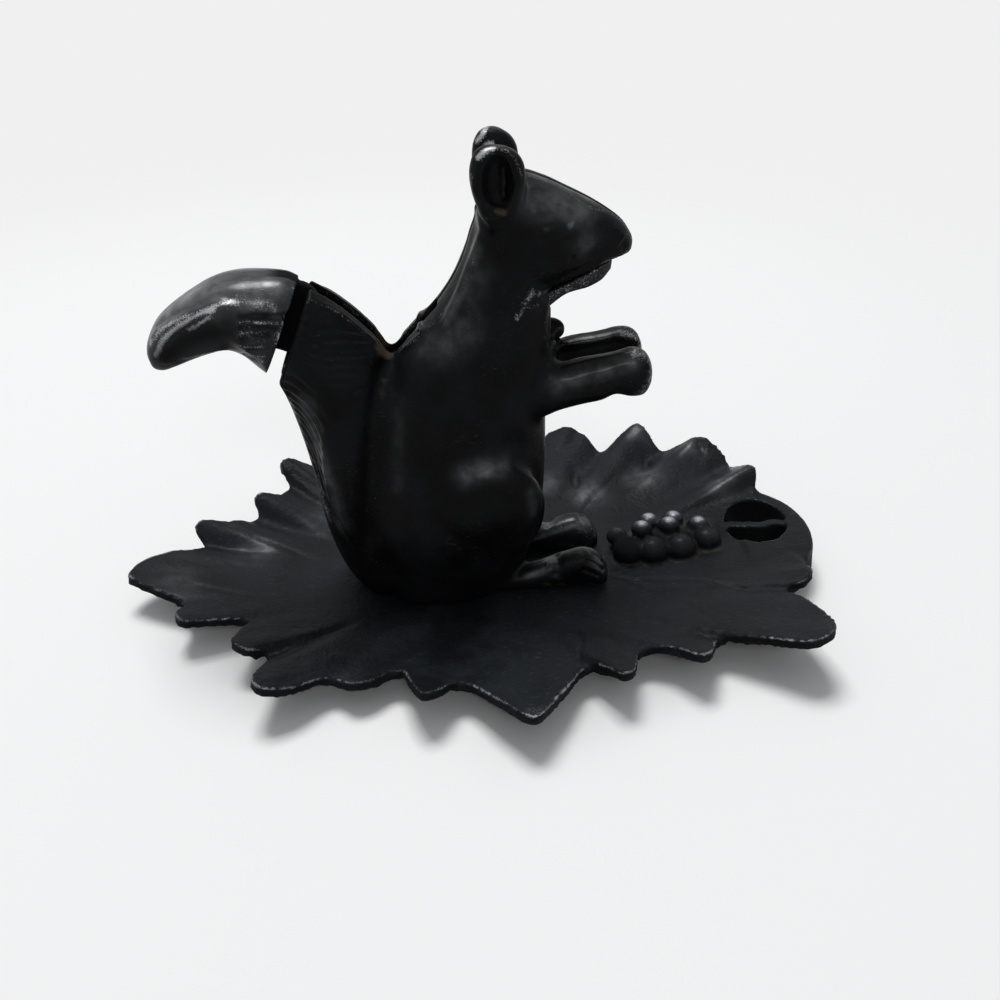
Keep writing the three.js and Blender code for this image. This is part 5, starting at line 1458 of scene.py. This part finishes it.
def markLeaf(obj):
    given = wear["leaf"]
    worn, hollow = wearOf(obj, *wear["rounds"])
    x, y, z = pointsOf(obj).T
    upward, rubbed = normalsOf(obj)[:, 2], marksNear(obj, trayRub)
    top = smoothStep(0.3, 0.9, upward)
    (base, swing), (alongRate, alongStart), (acrossRate, acrossStart) = (
        given[name] for name in ("patches", "along", "across")
    )
    patchy = base + swing * np.sin(alongRate * x + alongStart) * np.sin(acrossRate * y + acrossStart)
    patchy = patchy * (1 - marksNear(obj, [given["dull"]]))
    rimWear = given["worn"] * worn * patchy * smoothStep(-0.2, 0.4, upward)
    # Painted shade on the floor round the big nuts, and on the faces that look down under the rim
    between = given["betweenNuts"] * marksNear(obj, trayNutShade) * (1 - rubbed)
    between = between * smoothStep(*given["overFloor"], z)
    underRim = given["underRim"] * (1 - smoothStep(-0.1, 0.4, upward)) * (1 - worn)
    keepAll(
        obj,
        worn=np.maximum(rimWear, rubbed * top),
        dust=np.maximum(given["dust"] * hollow, marksNear(obj, trayDust) * (1 - worn)),
        burnish=marksNear(obj, traySheen) * top,
        grime=np.maximum(between, underRim),
    )


for half in halves.values():
    markBody(half)
markLever(tailLever)
markLeaf(leafPiece)
for obj in steelPieces.values():
    keepAttribute(obj, "worn", wearOf(obj, *wear["steelRounds"])[0])
report("wear and dust")


# Shader groups shared by the materials
def newGroup(name, inputs, output, kind="NodeSocketFloat"):
    group = bpy.data.node_groups.new(name, "ShaderNodeTree")
    for label, default in inputs.items():
        socket = group.interface.new_socket(label, in_out="INPUT", socket_type="NodeSocketFloat")
        socket.default_value = default
    group.interface.new_socket(output, in_out="OUTPUT", socket_type=kind)
    return group, group.nodes.new("NodeGroupInput"), group.nodes.new("NodeGroupOutput")


# A socket takes a link from another socket, or a plain value of its own
def give(tree, socket, value):
    if isinstance(value, bpy.types.NodeSocket):
        tree.links.new(value, socket)
    else:
        socket.default_value = value


def addNode(tree, kind, values=None, **settings):
    node = tree.nodes.new(kind)
    for name, value in settings.items():
        setattr(node, name, value)
    for name, value in (values or {}).items():
        give(tree, node.inputs[name], value)
    return node


def maths(tree, operation, first, second=0.0, clamp=False):
    node = addNode(tree, "ShaderNodeMath", {0: first, 1: second}, operation=operation, use_clamp=clamp)
    return node.outputs[0]


def noiseField(tree, scale, detail=3.0, stretch=None):
    place = addNode(tree, "ShaderNodeTexCoord").outputs["Object"]
    if stretch:
        turn, scales = stretch
        mapping = addNode(tree, "ShaderNodeMapping", {"Vector": place, "Rotation": turn, "Scale": scales})
        place = mapping.outputs[0]
    noise = addNode(tree, "ShaderNodeTexNoise", {"Vector": place, "Scale": scale, "Detail": detail})
    return noise.outputs["Fac"]


def stepped(tree, value, low, high):
    ranged = addNode(tree, "ShaderNodeMapRange", {"Value": value, "From Min": low, "From Max": high})
    ranged.interpolation_type = "SMOOTHSTEP"
    return ranged.outputs["Result"]


# Bare metal where the paint is rubbed through, broken up by the casting's grain
def makeEdgeWear():
    sockets = {"Worn": 0.0, "Breakup": 0.6, "Grain scale": 2100.0}
    group, given, result = newGroup("edgeWear", sockets, "Bare")
    worn, breakup, grainScale = (given.outputs[name] for name in sockets)
    grain = maths(group, "MULTIPLY", noiseField(group, grainScale, 4), 0.7)
    patches = maths(group, "MULTIPLY", noiseField(group, 260, 2), 0.3)
    spread = maths(group, "SUBTRACT", maths(group, "ADD", grain, patches), 0.5)
    shaken = maths(group, "MULTIPLY", spread, maths(group, "MULTIPLY", breakup, 3))
    bare = stepped(group, maths(group, "ADD", worn, shaken), 0.3, 1.0)
    gate = stepped(group, worn, 0.04, 0.3)
    group.links.new(maths(group, "MULTIPLY", bare, gate), result.inputs[0])
    return group


# Dust and old wax lying in hollows, patchy
def makeSettledDust():
    sockets = {"Dust": 0.0, "Amount": 0.7, "Patch scale": 320.0}
    group, given, result = newGroup("settledDust", sockets, "Dusty")
    dust, amount, patchScale = (given.outputs[name] for name in sockets)
    patch = maths(group, "SUBTRACT", noiseField(group, patchScale, 4), 0.62)
    dusty = stepped(group, maths(group, "ADD", dust, patch), 0.1, 0.65)
    group.links.new(maths(group, "MULTIPLY", dusty, amount), result.inputs[0])
    return group


# Fine scratches: long thin streaks in one direction
def makeScratches():
    sockets = {"Amount": 0.3, "Scale": 260.0}
    group, given, result = newGroup("scratches", sockets, "Scratched")
    amount, scale = (given.outputs[name] for name in sockets)
    one = noiseField(group, scale, 2, ((0.2, 0.5, 0.3), (1.0, 14.0, 14.0)))
    two = noiseField(group, scale, 2, ((0.6, -0.6, 1.1), (1.0, 11.0, 11.0)))
    lines = maths(group, "MAXIMUM", stepped(group, one, 0.66, 0.74), stepped(group, two, 0.67, 0.75))
    where = stepped(group, noiseField(group, 45, 2), 0.42, 0.62)
    lines = maths(group, "MULTIPLY", lines, where)
    group.links.new(maths(group, "MULTIPLY", lines, amount), result.inputs[0])
    return group


# Slow changes over the surface, from 0 to 1
def makeMottle():
    group, given, result = newGroup("mottle", {"Scale": 70.0}, "Mottle")
    group.links.new(stepped(group, noiseField(group, given.outputs["Scale"], 5), 0.32, 0.7), result.inputs[0])
    return group


# The sand-cast skin under the paint
def makeCastSkin():
    sockets = {"Depth": 0.05, "Grain scale": 750.0}
    group, given, result = newGroup("castSkin", sockets, "Normal", "NodeSocketVector")
    grain = noiseField(group, given.outputs["Grain scale"], 4)
    lumps = noiseField(group, 130, 3)
    height = maths(group, "ADD", maths(group, "MULTIPLY", grain, 0.3), lumps)
    depth = given.outputs["Depth"]
    bump = addNode(group, "ShaderNodeBump", {"Height": height, "Distance": depth, "Strength": 1.0})
    group.links.new(bump.outputs[0], result.inputs[0])
    return group


shared = {
    "edgeWear": makeEdgeWear(), "settledDust": makeSettledDust(), "scratches": makeScratches(),
    "mottle": makeMottle(), "castSkin": makeCastSkin(),
}


def useGroup(tree, name, values):
    return addNode(tree, "ShaderNodeGroup", values, node_tree=shared[name]).outputs[0]


# A colour mix keeps its colours in its seventh and eighth sockets, and its result in the third
def mixColours(tree, share, first, second):
    return addNode(tree, "ShaderNodeMix", {0: share, 6: first, 7: second}, data_type="RGBA").outputs[2]


def mixValues(tree, share, first, second):
    return addNode(tree, "ShaderNodeMix", {"Factor": share, "A": first, "B": second}).outputs[0]


def valueBetween(tree, share, low, high):
    node = addNode(tree, "ShaderNodeMapRange", {"Value": share, "To Min": low, "To Max": high})
    return node.outputs["Result"]


def kept(tree, name):
    return addNode(tree, "ShaderNodeAttribute", attribute_name=name).outputs["Fac"]


def newMaterial(name):
    mat = bpy.data.materials.new(name)
    mat.use_nodes = True
    return mat, mat.node_tree, mat.node_tree.nodes["Principled BSDF"]


def setShader(tree, shader, values):
    for name, value in values.items():
        give(tree, shader.inputs[name], value)


# Painted cast iron: each piece gives its own colours and amounts
def castPaint(name, look):
    mat, tree, shader = newMaterial(name)
    grime = kept(tree, "grime")
    mottle = useGroup(tree, "mottle", {"Scale": look["mottleScale"]})
    bare = useGroup(tree, "edgeWear", {"Worn": kept(tree, "worn"), "Breakup": look["breakup"]})
    scratched = useGroup(tree, "scratches", {"Amount": look["scratches"]})
    bare = maths(tree, "MAXIMUM", bare, scratched, clamp=True)
    dusty = useGroup(tree, "settledDust", {"Dust": kept(tree, "dust"), "Amount": look["dust"]})
    # Painted sheen: a paler colour painted where highlights fall, with a glossy coat over it, broken into
    # patches
    patches = valueBetween(tree, useGroup(tree, "mottle", {"Scale": look["sheenPatchScale"]}), look["sheenPatchLeast"], 1.0)
    burnished = maths(tree, "MULTIPLY", kept(tree, "burnish"), patches)
    colour = mixColours(tree, mottle, look["dark"], look["light"])
    rough = valueBetween(tree, mottle, look["roughLow"], look["roughHigh"])
    colour = mixColours(tree, burnished, colour, look["burnished"])
    # The last of these mixes is painted shade: near black and rough, and it takes the coat away
    for share, over, overRough in (
        (bare, look["metal"], look["metalRough"]),
        (dusty, look["dustColour"], look["dustRough"]),
        (grime, look["grimeColour"], look["grimeRough"]),
    ):
        colour = mixColours(tree, share, colour, over)
        rough = mixValues(tree, share, rough, overRough)
    unshaded = maths(tree, "SUBTRACT", 1.0, grime, clamp=True)
    setShader(tree, shader, {
        "Base Color": colour,
        "Metallic": maths(tree, "MULTIPLY", bare, look["metalShare"]),
        "Roughness": rough,
        "Normal": useGroup(tree, "castSkin", {"Depth": look["skin"]}),
        "Coat Weight": maths(tree, "MULTIPLY", burnished, unshaded),
        "Coat Roughness": look["coatRough"],
        "Specular IOR Level": look["specular"],
    })
    return mat


paintLook = {
    "dark": (0.0022, 0.0024, 0.0026, 1), "light": (0.0058, 0.0064, 0.0074, 1), "mottleScale": 60.0,
    "roughLow": 0.33, "roughHigh": 0.46, "specular": 0.05, "skin": 0.0004,
    # The next line holds the painted sheen's colour, the coat's roughness and the size and least share of the
    # sheen's patches
    "burnished": (0.02, 0.023, 0.026, 1), "coatRough": 0.3, "sheenPatchScale": 190.0, "sheenPatchLeast": 0.35,
    "metal": (0.34, 0.34, 0.35, 1), "metalRough": 0.52, "metalShare": 0.85, "breakup": 0.7, "scratches": 0.08,
    "dustColour": (0.075, 0.058, 0.042, 1), "dustRough": 0.9, "dust": 0.6,
    "grimeColour": (0.002, 0.002, 0.002, 1), "grimeRough": 0.95,
}
leafLook = {
    **paintLook,
    "dark": (0.0042, 0.0052, 0.0062, 1), "light": (0.0112, 0.0134, 0.0162, 1), "mottleScale": 42.0,
    "roughLow": 0.4, "roughHigh": 0.58, "specular": 0.07, "skin": 0.0008,
    "burnished": (0.045, 0.053, 0.06, 1), "metal": (0.27, 0.28, 0.3, 1), "breakup": 0.55, "scratches": 0.2,
}
leverLook = {
    **paintLook,
    "dark": (0.007, 0.0075, 0.0085, 1), "light": (0.016, 0.0175, 0.02, 1),
    "roughLow": 0.3, "roughHigh": 0.42, "specular": 0.12,
    "burnished": (0.066, 0.07, 0.076, 1), "coatRough": 0.24,
    "metal": (0.46, 0.46, 0.48, 1), "breakup": 0.8, "scratches": 0.25, "dust": 0.3,
}
steelLook = {
    "dark": (0.055, 0.055, 0.057, 1), "light": (0.11, 0.108, 0.105, 1), "mottleScale": 220.0,
    "roughLow": 0.34, "roughHigh": 0.5, "metal": (0.4, 0.4, 0.41, 1), "metalShare": 0.85, "breakup": 0.4,
    "skin": 0.0002, "grainScale": 1600.0,
}


def turnedSteel(look):
    mat, tree, shader = newMaterial("turnedSteel")
    bare = useGroup(tree, "edgeWear", {"Worn": kept(tree, "worn"), "Breakup": look["breakup"]})
    mottle = useGroup(tree, "mottle", {"Scale": look["mottleScale"]})
    colour = mixColours(tree, mottle, look["dark"], look["light"])
    setShader(tree, shader, {
        "Base Color": mixColours(tree, bare, colour, look["metal"]),
        "Metallic": look["metalShare"],
        "Roughness": valueBetween(tree, mottle, look["roughLow"], look["roughHigh"]),
        "Normal": useGroup(tree, "castSkin", {"Depth": look["skin"], "Grain scale": look["grainScale"]}),
    })
    return mat


bodyPaint = castPaint("bodyPaint", paintLook)
leafPaint = castPaint("leafPaint", leafLook)
leverPaint = castPaint("leverPaint", leverLook)
steel = turnedSteel(steelLook)
dress = [
    (halves[-1], "right_half", "press", "body_iron", bodyPaint),
    (halves[1], "left_half", "press", "body_iron", bodyPaint),
    (leafPiece, "leaf_tray", "press", "tray_iron", leafPaint),
    (tailLever, "tail_lever", "lever", "lever_iron", leverPaint),
    *[(obj, node, "press", "dark_steel", steel) for node, obj in steelPieces.items()],
]
for obj, node, body, slot, mat in dress:
    obj.data.materials.clear()
    obj.data.materials.append(mat)
    obj.data.shade_smooth()
    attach(obj, body)
    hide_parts(node)
turnedEdge = math.radians(35)  # Steeper edges than this stay sharp on the turned pieces
for obj in steelPieces.values():
    obj.data.set_sharp_from_angle(angle=turnedEdge)

# Stage and light: a pale table that runs out into an even background, with a wide lamp high above and a
# small one in front
stage = {
    "half": 4000.0, "table": 0.82, "tableRough": 0.8, "background": 0.87, "shadeFrom": 0.32, "shadeTo": 0.75,
    # Each lamp's place, size and power
    "lamps": {"above": ((-0.3, 0.7, 2.7), (1.2, 1.0), 60.0), "front": ((0.1, -1.95, 1.5), (0.6, 0.5), 6.0)},
    "roomLow": 0.04, "roomHigh": 0.5, "roomWay": (-0.1, -0.12, 0.98), "roomTint": (0.95, 0.98, 1.0, 1),
}


# Camera and reflections see the pale background, and light falls as the room gives it
def seenDirectly(tree):
    path = addNode(tree, "ShaderNodeLightPath")
    seen = maths(tree, "MAXIMUM", path.outputs["Is Camera Ray"], path.outputs["Is Glossy Ray"])
    return maths(tree, "MAXIMUM", seen, path.outputs["Is Transmission Ray"])


def makeTable():
    half, pale = stage["half"], stage["background"]
    corners = [[-half, -half, 0], [half, -half, 0], [half, half, 0], [-half, half, 0]]
    floor = newObject("table", corners, [[0, 1, 2, 3]])
    mat, tree, shader = newMaterial("table")
    setShader(tree, shader, {"Base Color": (stage["table"],) * 3 + (1,), "Roughness": stage["tableRough"]})
    place = addNode(tree, "ShaderNodeTexCoord").outputs["Object"]
    away = addNode(tree, "ShaderNodeVectorMath", {0: place}, operation="LENGTH").outputs["Value"]
    far = stepped(tree, away, stage["shadeFrom"], stage["shadeTo"])
    even = addNode(tree, "ShaderNodeEmission", {"Color": (pale, pale, pale, 1), "Strength": 1.0})
    mix = addNode(tree, "ShaderNodeMixShader", {
        "Fac": maths(tree, "MULTIPLY", far, seenDirectly(tree)), 1: shader.outputs[0], 2: even.outputs[0],
    })
    tree.links.new(mix.outputs[0], tree.nodes["Material Output"].inputs["Surface"])
    floor.data.materials.append(mat)


def makeRoom():
    world = bpy.data.worlds.new("room")
    bpy.context.scene.world = world
    world.use_nodes = True
    tree = world.node_tree
    background = tree.nodes["Background"]
    way = addNode(tree, "ShaderNodeTexCoord").outputs["Generated"]
    facing = addNode(tree, "ShaderNodeVectorMath", {0: way, 1: stage["roomWay"]}, operation="DOT_PRODUCT")
    room = addNode(tree, "ShaderNodeMapRange", {
        "Value": facing.outputs["Value"], "From Min": 0.1, "From Max": 1.0,
        "To Min": stage["roomLow"], "To Max": stage["roomHigh"],
    }).outputs["Result"]
    seen, pale = seenDirectly(tree), (stage["background"],) * 3 + (1,)
    tree.links.new(mixColours(tree, seen, stage["roomTint"], pale), background.inputs["Color"])
    tree.links.new(mixValues(tree, seen, room, 1.0), background.inputs["Strength"])
    for name, (place, size, power) in stage["lamps"].items():
        light = bpy.data.lights.new(name, "AREA")
        light.shape = "RECTANGLE"
        light.size, light.size_y = size
        light.energy = power
        lamp = bpy.data.objects.new(name, light)
        lamp.location = place
        lamp.rotation_euler = Vector(place).to_track_quat("Z", "Y").to_euler()
        bpy.context.collection.objects.link(lamp)


makeTable()
makeRoom()
bpy.context.scene.view_settings.view_transform = "Standard"
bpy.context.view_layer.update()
report("done")
